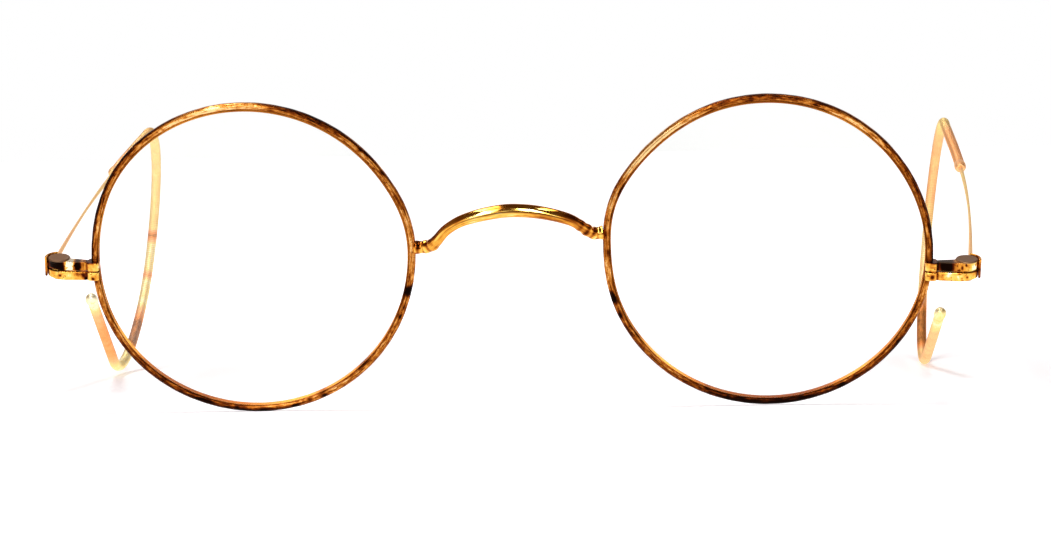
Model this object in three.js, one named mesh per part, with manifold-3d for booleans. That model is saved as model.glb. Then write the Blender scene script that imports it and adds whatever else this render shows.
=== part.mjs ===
// Round wire spectacles with a saddle bridge and curled cable temples.
// Millimetres, +Z up. The pair stands on a table as it was set down: on the bottoms of both rims and
// on the ear curls, with the front leaning towards -Y. The origin is on the table, under the middle.

import * as THREE from 'three';
import { mergeVertices } from 'three/addons/utils/BufferGeometryUtils.js';
import Module from 'manifold-3d';

const wasm = await Module();
wasm.setup();

const { degToRad } = THREE.MathUtils;

// Stance and the set of an old frame
const lean = degToRad(18.65); // the front leans forward from upright
const rimTwist = degToRad(2.3); // both rims are turned a little on the bridge
const bridgeTilt = degToRad(-3.9); // the bridge climbs from the left rim to the right one

// Rims and lenses
const rimSpacing = 64.4; // between the two rim centres
const rimRadius = 20.06; // middle of the rim wire
const rimWidth = 0.88; // wire width, seen from the front
const rimDepth = 1.06; // wire depth, front to back
const grooveMouth = 0.68; // width of the lens groove at its lips
const grooveDepth = 0.3;
// Outside of the wire's section from the lip to the crown, in shares of half its depth and half its width
const rimProfile = [
  [1, -0.2],
  [0.92, 0.4],
  [0.7, 0.78],
  [0.36, 1],
];
const rimSteps = 72;
const lensFront = 0.5; // front face, ahead of the bevel's ridge
const lensBack = 0.75; // rear face, behind it
const lensFlatRadius = 19.5; // edge of the flat face
const lensShoulderRadius = 19.56; // foot of the bevel
const lensApexRadius = 19.82; // bevel's ridge, in the groove
const bevelWidth = 0.72;
const lensSegments = 72;

// Bridge: middle line of the wire from the left foot over the crest to the right foot
const bridgeLift = 2.0; // feet above the line of the rim centres
const bridgeRadius = 0.8;
const bridgeSteps = 44;
const bridgeLine = [
  [-11.45, 0, 0],
  [-10.4, -0.1, 0],
  [-9.5, -0.55, 0.3],
  [-8.7, -0.95, 1.05],
  [-7.5, -1.15, 2.28],
  [-5.75, -1.2, 3.28],
  [-3.7, -1.2, 3.84],
  [-1.5, -1.2, 4.17],
  [0.2, -1.2, 4.28],
  [2.15, -1.2, 4.14],
  [4.3, -1.2, 3.74],
  [6.7, -1.2, 3.0],
  [8.3, -1.15, 2.26],
  [9.5, -0.9, 1.22],
  [10.3, -0.45, 0.38],
  [10.9, -0.1, 0.03],
  [11.45, 0, 0],
];

// End pieces, measured from the rim centre and the split between the two lugs
const splitDrop = 1.95; // the rim is split this far below its centre
const splitGap = 0.16;
const hingeOut = 24.4; // hinge axis, out from the rim centre
const hingeBack = 0.7; // hinge axis, behind the middle of the rim
const bossRadius = 1.45;
const bossFrontReach = 2.35; // the boss's front is drawn out along the lug, like a quarter of an ellipse
const neckRear = 0.73; // rear of the neck at the boss, behind the middle of the rim
const neckRootRear = 0.4; // and at the block, where the neck is thinner
const neckRootFront = -0.6;
const upperLugHeight = 1.28;
const neckDrop = 0.14; // the round top of the boss stands this far above the neck
const bossTopRadius = 1.4;
const lowerLugHeight = 1.12;
const blockWidth = 1.4; // block round the end of the rim wire, seen from the front
const blockDepth = 1.9;
const blockCorner = 0.4;
const upperBlockHeight = 1.08;
const lowerBlockHeight = 1.1;
const solderGap = 0.06; // room between the rim wire and its block
const roomReach = 0.2; // angle of that room each side of the split
const roomSteps = 24;
const pocketDepth = 0.46; // recess for the tongue, under the upper boss
const pocketRadius = 1.18;
const mouthRadius = 1.6; // the pocket opens to the outside and the back, where the web swings
const mouthStart = degToRad(-2); // from straight out, turning to the back
const mouthEnd = degToRad(168);

// Hinge screw, head underneath
const screwRadius = 0.5;
const screwHeadRadius = 0.85;
const screwHeadHeight = 0.42;
const screwSink = 0.28; // the head sits this deep in the lower lug
const screwSlotWidth = 0.24;
const screwSlotDepth = 0.18;
const screwReach = 1.05; // above the split, into the blind hole
const holeRadius = 0.57;
const holeReach = 1.13;
const runningGap = 0.06;
const screwJoin = 0.1; // shank inside the head

// Temple butt
const tongueRadius = 1.12;
const tongueHeight = 0.46;
const tongueRise = 0.23; // middle of the tongue above the split
const webInner = 0.78; // web from the tongue out to the plate
const webOuter = 1.74;
const webStart = degToRad(8); // from straight out, turning to the back
const plateInner = 1.51; // curved stop plate round the boss
const plateOuter = 1.82;
const plateStart = degToRad(-20);
const plateEnd = degToRad(75);
const plateTop = 1.45;
const plateBottom = -1.05;
const socketStart = 1.7; // back from the hinge axis
const socketEnd = 4.4;
const socketFrontRadius = 0.62;
const socketBackRadius = 0.48;
const socketBore = 0.35;
const socketBoreStart = 2.6;

// Temple line, back from the hinge axis: a straight shank and a curl of three arcs and a tail
const wireStart = 2.75;
const straightEnd = 78;
const curlArcs = [
  { radius: 19.4, turn: degToRad(100) },
  { radius: 11.5, turn: degToRad(42) },
  { radius: 22.5, turn: degToRad(69) },
];
const shankRadius = 0.28;
const coreRadius = 0.26;
const ferruleStart = 52; // along the temple line
const ferruleLength = 2.4;
const ferruleRadius = 0.8;
const ferruleBore = 0.47;
const ferruleLip = 0.63;
const ferruleSwell = 0.84; // where the sleeve reaches its full radius and where it leaves it
const ferruleTaper = 1.8;
const shankInFerrule = 1.3;
const cableRadius = 0.72;
const cableBore = 0.44;
const seatGap = 0.08; // between pieces that butt on the temple line
const tipLength = 2.6;
const tipRadius = 0.84;
const tipBore = 0.4;
const tipBoreDepth = 1.6;
const tipSwell = 0.78; // where the bead reaches its full radius and where it leaves it
const tipTaper = 1.69;
const tipNoseRadius = 0.5;
const tipNose = 2.44;
const coreInTip = 1.3;
const strandStep = 3; // length of one step of a swept strand

// Fineness of round outlines
const bossSegments = 24;
const holeSegments = 20;
const turnedSegments = 16;
const cornerSegments = 4;
const cutOverrun = 1; // cutters run this far past the face that they open

// How the wear of years has set each side: the end piece's shift on the rim, the wire's distance outside
// the hinge axis, the temple's slope, splay and bow, the curl's lean and its drift outwards, the tail's
// length, and the dents and bulges of the rim, each at an angle from straight out, turning up, with the
// angle that it spreads over
const sides = [
  {
    name: 'left',
    sign: -1,
    endShift: -0.15,
    wireOut: 0.85,
    slope: degToRad(6.65),
    splay: degToRad(-0.2),
    bow: 0.9,
    curlLean: degToRad(5.95),
    curlDrift: 0.45,
    tail: 33,
    dents: [
      { at: degToRad(3), by: -0.48, spread: degToRad(20) },
      { at: degToRad(166), by: 0.3, spread: degToRad(11) },
      { at: degToRad(212), by: -0.13, spread: degToRad(20) },
      { at: degToRad(280), by: 0.1, spread: degToRad(28) },
    ],
  },
  {
    name: 'right',
    sign: 1,
    endShift: 0.2,
    wireOut: 0.45,
    slope: degToRad(5.58),
    splay: degToRad(1.5),
    bow: 1.28,
    curlLean: degToRad(-2.9),
    curlDrift: 0,
    tail: 24,
    dents: [
      { at: degToRad(30), by: -0.26, spread: degToRad(24) },
      { at: degToRad(133), by: -0.12, spread: degToRad(12) },
      { at: degToRad(163), by: 0.3, spread: degToRad(10) },
      { at: degToRad(183), by: -0.12, spread: degToRad(9) },
      { at: degToRad(305), by: -0.12, spread: degToRad(24) },
    ],
  },
];

// Materials
const tarnishedGold = new THREE.MeshStandardMaterial({ color: '#9a6424', roughness: 0.38, metalness: 1 });
const polishedGold = new THREE.MeshStandardMaterial({ color: '#d9982e', roughness: 0.2, metalness: 1 });
const paleGold = new THREE.MeshStandardMaterial({ color: '#e6b974', roughness: 0.3, metalness: 1 });
const wornBrass = new THREE.MeshStandardMaterial({ color: '#7d5f3f', roughness: 0.42, metalness: 1 });
const clearGlass = new THREE.MeshStandardMaterial({
  color: '#f4f8f6',
  roughness: 0.04,
  metalness: 0,
  transparent: true,
  opacity: 0.12,
});

// Booleans between closed geometries
function toSolid(geometry) {
  const bare = geometry.clone();
  bare.deleteAttribute('normal');
  bare.deleteAttribute('uv');
  const welded = mergeVertices(bare, 1e-4);
  return new wasm.Manifold(
    new wasm.Mesh({
      numProp: 3,
      vertProperties: new Float32Array(welded.attributes.position.array),
      triVerts: new Uint32Array(welded.index.array),
    }),
  );
}

function toGeometry(solid) {
  const mesh = solid.getMesh();
  const geometry = new THREE.BufferGeometry();
  geometry.setAttribute('position', new THREE.BufferAttribute(new Float32Array(mesh.vertProperties), 3));
  geometry.setIndex(new THREE.BufferAttribute(new Uint32Array(mesh.triVerts), 1));
  geometry.computeVertexNormals();
  return geometry;
}

function piece(name, geometry, material) {
  const mesh = new THREE.Mesh(geometry, material);
  mesh.name = name;
  return mesh;
}

// An upright round bar between two heights
function roundBar(radius, bottom, top, segments) {
  const bar = new THREE.CylinderGeometry(radius, radius, top - bottom, segments);
  bar.rotateX(Math.PI / 2);
  bar.translate(0, 0, (bottom + top) / 2);
  return bar;
}

// A flat outline in X and Y, raised between two heights
function slab(shape, bottom, top, curveSegments = 12) {
  const plate = new THREE.ExtrudeGeometry(shape, { depth: top - bottom, bevelEnabled: false, curveSegments });
  plate.translate(0, 0, bottom);
  return plate;
}

function disc(radius) {
  const shape = new THREE.Shape();
  shape.absarc(0, 0, radius, 0, Math.PI * 2, false);
  return shape;
}

// A section carried along a curve, closed at both ends
function strand(shape, curve, steps, curveSegments = 4) {
  return new THREE.ExtrudeGeometry(shape, { extrudePath: curve, steps, curveSegments });
}

// How far a rim is out of round at an angle
function outOfRound(dents, angle) {
  let total = 0;
  for (const { at, by, spread } of dents) {
    const away = Math.atan2(Math.sin(angle - at), Math.cos(angle - at)) / spread;
    total += by * Math.exp(-0.5 * away * away);
  }
  return total;
}

// Middle line of the rim's wire, from one side of the split round to the other
class RimLine extends THREE.Curve {
  constructor(dents, start, end) {
    super();
    this.dents = dents;
    this.start = start;
    this.end = end;
  }
  getPoint(t, target = new THREE.Vector3()) {
    const angle = this.start + t * (this.end - this.start);
    const radius = rimRadius + outOfRound(this.dents, angle);
    return target.set(radius * Math.cos(angle), 0, radius * Math.sin(angle));
  }
}

// Section of the rim wire: x is front to back, y is radial, grown outwards by spare
function rimSection(spare, grooved) {
  const halfDepth = rimDepth / 2 + spare;
  const halfWidth = rimWidth / 2 + spare;
  const lip = grooveMouth / 2;
  const shape = new THREE.Shape();
  shape.moveTo(-lip, -halfWidth);
  if (grooved) shape.lineTo(0, -halfWidth + grooveDepth);
  shape.lineTo(lip, -halfWidth);
  for (const [x, y] of rimProfile) shape.lineTo(x * halfDepth, y * halfWidth);
  for (const [x, y] of rimProfile.toReversed()) shape.lineTo(-x * halfDepth, y * halfWidth);
  shape.closePath();
  return shape;
}

// Rim wire, split at the end piece
function makeEyewire(side) {
  const splitAngle = Math.asin(-splitDrop / rimRadius);
  const halfGap = splitGap / 2 / rimRadius;
  const line = new RimLine(side.dents, splitAngle + halfGap, splitAngle + 2 * Math.PI - halfGap);
  return strand(rimSection(0, true), line, rimSteps);
}

// Flat glass with a bevelled edge, turned about the front-to-back axis and ground to the rim's shape
function makeLens(side) {
  const profile = [
    [0, -lensFront],
    [lensFlatRadius, -lensFront],
    [lensShoulderRadius, -bevelWidth / 2],
    [lensApexRadius, 0],
    [lensShoulderRadius, bevelWidth / 2],
    [lensFlatRadius, lensBack],
    [0, lensBack],
  ];
  const glass = new THREE.LatheGeometry(profile.map(([r, y]) => new THREE.Vector2(r, y)), lensSegments);
  const place = glass.attributes.position;
  for (let i = 0; i < place.count; i += 1) {
    const x = place.getX(i);
    const z = place.getZ(i);
    const grown = 1 + outOfRound(side.dents, Math.atan2(z, x)) / lensApexRadius;
    place.setXYZ(i, x * grown, place.getY(i), z * grown);
  }
  glass.computeVertexNormals();
  return glass;
}

// One wire bent in a saddle
function makeBridge() {
  const line = new THREE.CatmullRomCurve3(bridgeLine.map((point) => new THREE.Vector3(...point)));
  return strand(disc(bridgeRadius), line, bridgeSteps, 5);
}

// Plan of a lug: the neck from the rim block and the boss round the hinge axis
function lugPlan() {
  const inner = rimRadius + blockWidth / 4;
  const crown = hingeOut + bossRadius - bossFrontReach;
  const rear = Math.asin((neckRear - hingeBack) / bossRadius);
  const shape = new THREE.Shape();
  shape.moveTo(inner, neckRootRear);
  shape.lineTo(inner, neckRootFront);
  shape.lineTo(crown, hingeBack - bossRadius);
  shape.absellipse(crown, hingeBack, bossFrontReach, bossRadius, 1.5 * Math.PI, 2 * Math.PI, false, 0);
  shape.absarc(hingeOut, hingeBack, bossRadius, 0, Math.PI - rear, false);
  shape.closePath();
  return shape;
}

// Plan of the block that grips the end of the rim wire
function blockPlan() {
  const halfWidth = blockWidth / 2;
  const halfDepth = blockDepth / 2;
  const outer = rimRadius + halfWidth;
  const inner = rimRadius - halfWidth;
  const shape = new THREE.Shape();
  shape.moveTo(inner + blockCorner, -halfDepth);
  shape.lineTo(outer - blockCorner, -halfDepth);
  shape.absarc(outer - blockCorner, -halfDepth + blockCorner, blockCorner, -Math.PI / 2, 0, false);
  shape.absarc(outer - blockCorner, halfDepth - blockCorner, blockCorner, 0, Math.PI / 2, false);
  shape.absarc(inner + blockCorner, halfDepth - blockCorner, blockCorner, Math.PI / 2, Math.PI, false);
  shape.absarc(inner + blockCorner, -halfDepth + blockCorner, blockCorner, Math.PI, 1.5 * Math.PI, false);
  shape.closePath();
  return shape;
}

// Room for the rim wire in the blocks, a little larger than the wire, through the split
function rimRoom(side) {
  const splitAngle = Math.asin(-splitDrop / rimRadius);
  const line = new RimLine(side.dents, splitAngle - roomReach, splitAngle + roomReach);
  const room = strand(rimSection(solderGap, false), line, roomSteps);
  room.translate(-side.endShift, 0, splitDrop);
  return toSolid(room);
}

// Upper half of the end piece, heights from the split
function makeUpperLug(side) {
  const bottom = splitGap / 2;
  const top = bottom + upperLugHeight;
  const ceiling = bottom + pocketDepth;
  const lug = toSolid(slab(lugPlan(), bottom, top - neckDrop, bossSegments));
  const block = toSolid(slab(blockPlan(), bottom, bottom + upperBlockHeight, cornerSegments));
  const bossTop = roundBar(bossTopRadius, ceiling, top, bossSegments);
  bossTop.translate(hingeOut, hingeBack, 0);
  const pocket = roundBar(pocketRadius, bottom - cutOverrun, ceiling, bossSegments);
  pocket.translate(hingeOut, hingeBack, 0);
  const mouthPlan = sectorPlan(holeRadius, mouthRadius, mouthStart, mouthEnd);
  const mouth = slab(mouthPlan, bottom - cutOverrun, ceiling, bossSegments);
  mouth.translate(hingeOut, hingeBack, 0);
  const thread = roundBar(holeRadius, bottom - cutOverrun, holeReach, holeSegments);
  thread.translate(hingeOut, hingeBack, 0);
  const body = lug.add(block).add(toSolid(bossTop)).subtract(rimRoom(side));
  return toGeometry(body.subtract(toSolid(pocket)).subtract(toSolid(mouth)).subtract(toSolid(thread)));
}

// Lower half of the end piece, with the screw's hole right through and a seat for its head
function makeLowerLug(side) {
  const top = -splitGap / 2;
  const foot = top - lowerLugHeight;
  const lug = toSolid(slab(lugPlan(), foot, top, bossSegments));
  const block = toSolid(slab(blockPlan(), top - lowerBlockHeight, top, cornerSegments));
  const hole = roundBar(holeRadius, foot - cutOverrun, top + cutOverrun, holeSegments);
  hole.translate(hingeOut, hingeBack, 0);
  const headRoom = roundBar(screwHeadRadius + runningGap, foot - cutOverrun, foot + screwSink, bossSegments);
  headRoom.translate(hingeOut, hingeBack, 0);
  const body = lug.add(block).subtract(rimRoom(side));
  return toGeometry(body.subtract(toSolid(hole)).subtract(toSolid(headRoom)));
}

// Screw about the hinge axis, heights from the split
function makeHingeScrew() {
  const seat = -splitGap / 2 - lowerLugHeight + screwSink - runningGap;
  const foot = seat - screwHeadHeight;
  const shank = toSolid(roundBar(screwRadius, seat - screwJoin, screwReach, holeSegments));
  const head = toSolid(roundBar(screwHeadRadius, foot, seat, bossSegments));
  const slot = new THREE.BoxGeometry(screwHeadRadius * 3, screwSlotWidth, screwSlotDepth * 2);
  slot.translate(0, 0, foot);
  return toGeometry(shank.add(head).subtract(toSolid(slot)));
}

// Ring sector round the hinge axis
function sectorPlan(inner, outer, start, end) {
  const shape = new THREE.Shape();
  shape.absarc(0, 0, outer, start, end, false);
  shape.absarc(0, 0, inner, end, start, true);
  shape.closePath();
  return shape;
}

// Hinge end of a temple: tongue in the pocket, stop plate round the boss, socket for the wire
function makeTempleButt(line) {
  const low = tongueRise - tongueHeight / 2;
  const high = tongueRise + tongueHeight / 2;
  const tongue = toSolid(roundBar(tongueRadius, low, high, bossSegments));
  const web = toSolid(slab(sectorPlan(webInner, webOuter, webStart, plateEnd), low, high));
  const platePlan = sectorPlan(plateInner, plateOuter, plateStart, plateEnd);
  const plate = toSolid(slab(platePlan, plateBottom, plateTop));
  const length = socketEnd - socketStart;
  const socketProfile = [
    [0, 0],
    [socketFrontRadius, 0],
    [socketBackRadius, length],
    [0, length],
  ];
  const boreProfile = [
    [0, 0],
    [socketBore, 0],
    [socketBore, length],
    [0, length],
  ];
  const socket = turnedOnLine(socketProfile, line, socketStart);
  const bore = turnedOnLine(boreProfile, line, socketBoreStart);
  const eye = toSolid(roundBar(holeRadius, low - cutOverrun, high + cutOverrun, holeSegments));
  const body = tongue.add(web).add(plate).add(toSolid(socket));
  return toGeometry(body.subtract(toSolid(bore)).subtract(eye));
}

// Middle line of one temple from the hinge axis: x out, y back, z up
class TempleLine extends THREE.Curve {
  constructor(side) {
    super();
    this.side = side;
    this.length = straightEnd + side.tail;
    for (const arc of curlArcs) this.length += arc.radius * arc.turn;
  }
  // Place on the flat profile after a run along it: distance back and height
  profile(run) {
    let heading = this.side.slope;
    let back = Math.min(run, straightEnd) * Math.cos(heading);
    let height = -Math.min(run, straightEnd) * Math.sin(heading);
    let left = run - straightEnd;
    for (const { radius, turn } of curlArcs) {
      if (left <= 0) return { back, height };
      const swept = Math.min(turn, left / radius);
      back += radius * (Math.sin(heading + swept) - Math.sin(heading));
      height += radius * (Math.cos(heading + swept) - Math.cos(heading));
      heading += swept;
      left -= radius * turn;
    }
    if (left > 0) {
      back += left * Math.cos(heading);
      height -= left * Math.sin(heading);
    }
    return { back, height };
  }
  getPoint(t, target = new THREE.Vector3()) {
    const { wireOut, slope, splay, bow, curlLean, curlDrift } = this.side;
    const run = t * this.length;
    const { back, height } = this.profile(run);
    const drop = -(height + back * Math.tan(slope));
    const bowing = bow * Math.sin(Math.PI * Math.min(run / straightEnd, 1));
    const drift = (curlDrift * Math.max(0, run - straightEnd)) / (this.length - straightEnd);
    const out = wireOut + back * Math.tan(splay) + bowing + drop * Math.tan(curlLean) + drift;
    return target.set(out, back, tongueRise + height);
  }
}

// Part of a temple line between two runs along it
class Stretch extends THREE.Curve {
  constructor(line, from, to) {
    super();
    this.line = line;
    this.from = from / line.length;
    this.to = to / line.length;
    this.steps = Math.ceil((to - from) / strandStep);
  }
  getPoint(t, target = new THREE.Vector3()) {
    return this.line.getPoint(this.from + t * (this.to - this.from), target);
  }
}

// Straight shank from the socket into the ferrule
function makeTempleWire(line) {
  const stretch = new Stretch(line, wireStart, ferruleStart + shankInFerrule);
  return strand(disc(shankRadius), stretch, stretch.steps, 4);
}

// Thin core inside the cable, from the ferrule to the tip
function makeCableCore(line) {
  const start = ferruleStart + shankInFerrule + seatGap;
  const stretch = new Stretch(line, start, line.length - tipLength + coreInTip);
  return strand(disc(coreRadius), stretch, stretch.steps, 3);
}

// Wound sheath as a plain hollow tube: its turns are too fine to see at arm's length
function makeCable(line) {
  const start = ferruleStart + ferruleLength + seatGap;
  const stretch = new Stretch(line, start, line.length - tipLength - seatGap);
  const section = disc(cableRadius);
  section.holes.push(new THREE.Path().absarc(0, 0, cableBore, 0, Math.PI * 2, true));
  return strand(section, stretch, stretch.steps, 4);
}

// A turned profile set on the temple line, its axis along the line from a given run
function turnedOnLine(profile, line, run) {
  const points = profile.map(([r, y]) => new THREE.Vector2(r, y));
  const turned = new THREE.LatheGeometry(points, turnedSegments);
  const here = line.getPoint(run / line.length);
  const ahead = line.getPoint(Math.min(1, (run + 1) / line.length));
  const turn = new THREE.Quaternion();
  turn.setFromUnitVectors(new THREE.Vector3(0, 1, 0), ahead.sub(here).normalize());
  turned.applyQuaternion(turn);
  turned.translate(here.x, here.y, here.z);
  return turned;
}

// Sleeve over the joint of shank and cable
function makeFerrule(line) {
  const profile = [
    [ferruleBore, 0],
    [ferruleLip, 0],
    [ferruleRadius, ferruleSwell],
    [ferruleRadius, ferruleTaper],
    [cableRadius, ferruleLength],
    [ferruleBore, ferruleLength],
    [ferruleBore, 0],
  ];
  return turnedOnLine(profile, line, ferruleStart);
}

// Bead that closes the cable, with a blind bore for the core
function makeEndTip(line) {
  const profile = [
    [0, tipBoreDepth],
    [tipBore, tipBoreDepth],
    [tipBore, 0],
    [cableRadius, 0],
    [tipRadius, tipSwell],
    [tipRadius, tipTaper],
    [tipNoseRadius, tipNose],
    [0, tipLength],
  ];
  return turnedOnLine(profile, line, line.length - tipLength);
}

// Rim, end piece and temple of one side, built outwards in +X and mirrored for the left
function makeSide(side) {
  const label = (word) => `${side.name}_${word}`;
  const half = new THREE.Group();
  half.position.x = (side.sign * rimSpacing) / 2;
  half.rotation.y = rimTwist;
  half.scale.x = side.sign;
  half.add(piece(label('eyewire'), makeEyewire(side), tarnishedGold));
  half.add(piece(label('lens'), makeLens(side), clearGlass));

  const endPiece = new THREE.Group();
  endPiece.position.set(side.endShift, 0, -splitDrop);
  endPiece.add(piece(label('upper_lug'), makeUpperLug(side), polishedGold));
  endPiece.add(piece(label('lower_lug'), makeLowerLug(side), polishedGold));
  half.add(endPiece);

  const hinge = new THREE.Group();
  hinge.position.set(hingeOut, hingeBack, 0);
  hinge.add(piece(label('hinge_screw'), makeHingeScrew(), wornBrass));
  endPiece.add(hinge);

  const line = new TempleLine(side);
  const temple = new THREE.Group();
  temple.add(piece(label('temple_butt'), makeTempleButt(line), polishedGold));
  temple.add(piece(label('temple_wire'), makeTempleWire(line), paleGold));
  temple.add(piece(label('ferrule'), makeFerrule(line), paleGold));
  temple.add(piece(label('cable_core'), makeCableCore(line), paleGold));
  temple.add(piece(label('cable'), makeCable(line), paleGold));
  temple.add(piece(label('end_tip'), makeEndTip(line), paleGold));
  hinge.add(temple);
  return half;
}

const front = new THREE.Group();
front.rotation.x = lean;
for (const side of sides) front.add(makeSide(side));

const bridge = piece('bridge', makeBridge(), polishedGold);
bridge.position.z = bridgeLift;
bridge.rotation.y = bridgeTilt;
front.add(bridge);

// Stand the pair on the table with the origin under the middle of its box
const spectacles = new THREE.Group();
spectacles.add(front);
spectacles.updateMatrixWorld(true);
const box = new THREE.Box3().setFromObject(spectacles, true);
const middle = box.getCenter(new THREE.Vector3());
front.position.set(-middle.x, -middle.y, -box.min.z);

export default spectacles;
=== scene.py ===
"""Round wire spectacles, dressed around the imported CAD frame.

Shapes are worked out in millimetres and put into the meshes in metres.
"""

import math

import bmesh
import bpy
import numpy as np
from bpy.props import FloatProperty, FloatVectorProperty, PointerProperty
from mathutils import Matrix, Vector


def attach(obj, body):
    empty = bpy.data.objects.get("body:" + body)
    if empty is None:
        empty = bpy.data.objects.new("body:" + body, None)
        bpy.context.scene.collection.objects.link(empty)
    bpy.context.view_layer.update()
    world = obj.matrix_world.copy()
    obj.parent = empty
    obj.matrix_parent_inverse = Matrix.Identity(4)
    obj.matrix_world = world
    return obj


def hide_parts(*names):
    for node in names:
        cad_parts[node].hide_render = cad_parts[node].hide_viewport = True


bl_info = {
    "name": "Round wire spectacles",
    "version": (1, 0, 0),
    "blender": (4, 5, 0),
    "location": "3D View > Sidebar > Spectacles",
    "description": "Rims, lenses, bridge, end pieces and cable temples of a worn gold frame",
    "category": "Object",
}

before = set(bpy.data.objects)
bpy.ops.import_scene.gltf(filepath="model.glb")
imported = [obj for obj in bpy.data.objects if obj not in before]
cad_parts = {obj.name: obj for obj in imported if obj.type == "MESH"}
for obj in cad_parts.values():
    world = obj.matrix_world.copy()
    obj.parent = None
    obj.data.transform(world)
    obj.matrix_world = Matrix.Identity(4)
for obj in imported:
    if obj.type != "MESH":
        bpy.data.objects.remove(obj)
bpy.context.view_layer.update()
MM = 0.001

# Stance of the front, as the CAD model has it
LEAN = math.radians(18.65)
RIM_TWIST = math.radians(2.3)
BRIDGE_TILT = math.radians(-3.9)
BRIDGE_LIFT = 2.0
FRONT_ORIGIN = np.array([1.5968, -47.5363, 19.5629])
RIM_SPACING = 64.4

# Rim wire's section from the groove round the lip to the crown: front to back, and radial
RIM_SECTION = np.array(
    [[0, -0.14], [0.34, -0.44], [0.53, -0.088], [0.488, 0.176], [0.371, 0.343], [0.191, 0.44]]
)
# Lens's edge from the front face over the bevel to the back face: radius, and front to back
LENS_PROFILE = np.array(
    [[19.49, -0.5], [19.5, -0.5], [19.56, -0.44], [19.56, -0.36], [19.82, 0], [19.56, 0.36], [19.56, 0.69],
     [19.5, 0.75], [19.49, 0.75]]
)
LENS_APEX = 19.82
# Radius past which the glass is ground matt
LENS_CLEAR = 19.495

# End pieces, heights from the split between the two lugs
SPLIT_DROP = 1.95
SPLIT_GAP = 0.16
HINGE = np.array([24.4, 0.7])
BOSS_RADIUS, BOSS_REACH = 1.45, 2.35
CAP_RADIUS, CAP_FOOT, CAP_TOP = 1.4, 0.9, 1.36
NECK_REAR, NECK_ROOT_REAR, NECK_ROOT_FRONT = 0.73, 0.4, -0.6
BLOCK_IN, BLOCK_OUT, BLOCK_HALF = 19.2, 20.7, 0.95
SCREW_RADIUS, SCREW_HEAD, SCREW_SEAT, SCREW_FOOT, SCREW_TOP = 0.5, 0.85, -0.98, -1.4, 1.05
SLOT_HALF, SLOT_DEPTH = 0.12, 0.18
HOLE_RADIUS = 0.57
TONGUE_RISE, TONGUE_TOP = 0.23, 0.46
BLOCK_FOOT, BLOCK_TOP, LUG_FOOT, LUG_TOP = -1.18, 1.16, -1.22, 1.22
# Where the slit that closes a lug's flat faces starts, on the block
SLIT_START = 20.0
# Lower lug's underside: edge and depth of the screw's seat, and the run and height of its outward rise
SEAT_EDGE, SEAT_DEPTH, FOOT_RUN, FOOT_RISE = (0.86, 0.96), 0.24, (23.4, 26.4), 0.22
# Upper lug's pocket: its round edge, and the bearings and the place between which its mouth is open
POCKET_EDGE, MOUTH_FRONT, MOUTH_REAR, MOUTH_START = (1.16, 1.24), (-0.07, 0.0), (2.9, 2.97), 22.9

# Temple line: a straight shank and a curl of three arcs and a tail
STRAIGHT_END = 78.0
CURL_ARCS = [(19.4, math.radians(100)), (11.5, math.radians(42)), (22.5, math.radians(69))]
FERRULE_START, FERRULE_LENGTH, TIP_LENGTH, SEAT_GAP = 52.0, 2.4, 2.6, 0.08
# Where the shank starts in its socket, and how deep wires stand in sleeve and bead
SHANK_START, WIRE_DEPTH = 2.75, 1.3
OUTWARDS = np.array([1.0, 0, 0])

# Middle line of the bridge's wire
BRIDGE_LINE = np.array(
    [
        [-11.68, 0, 0], [-10.4, -0.1, 0], [-9.5, -0.55, 0.3], [-8.7, -0.95, 1.05],
        [-7.5, -1.15, 2.28], [-5.75, -1.2, 3.28], [-3.7, -1.2, 3.84], [-1.5, -1.2, 4.17],
        [0.2, -1.2, 4.28], [2.15, -1.2, 4.14], [4.3, -1.2, 3.74], [6.7, -1.2, 3.0],
        [8.3, -1.15, 2.26], [9.5, -0.9, 1.22], [10.3, -0.45, 0.38], [10.9, -0.1, 0.03],
        [11.85, 0, 0],
    ]
)

# Bands round the bridge's wire, from the back over the top: angle, spread, strength. They are painted
# reflection: darker over the top and in a thin line under the highlights, lighter where the lamps'
# highlights fall, and darker along the bottom edge
BRIDGE_REFLECTION_BANDS = [(95, 24, 0.14), (158, 22, -0.14), (174, 7, 0.06), (258, 13, 0.18)]

# Stains on the bridge: place across the nose, spread, angle round the wire, spread, strength. The first two
# are painted dark reflections on the crest and the right arm, between the lamps' highlights
BRIDGE_STAINS_AND_REFLECTIONS = [
    (-0.4, 0.75, 138, 18, 0.3), (8.1, 0.7, 150, 20, 0.5), (5.4, 1.7, 212, 28, 0.32),
    (-5.6, 0.7, 153, 16, 0.3), (-8.4, 0.8, 110, 24, 0.35), (-11.1, 0.26, 150, 26, 0.7),
    (-9.9, 0.22, 140, 20, 0.4), (10.5, 0.26, 145, 22, 0.5), (9.85, 0.22, 189, 18, 0.4),
]
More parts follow.
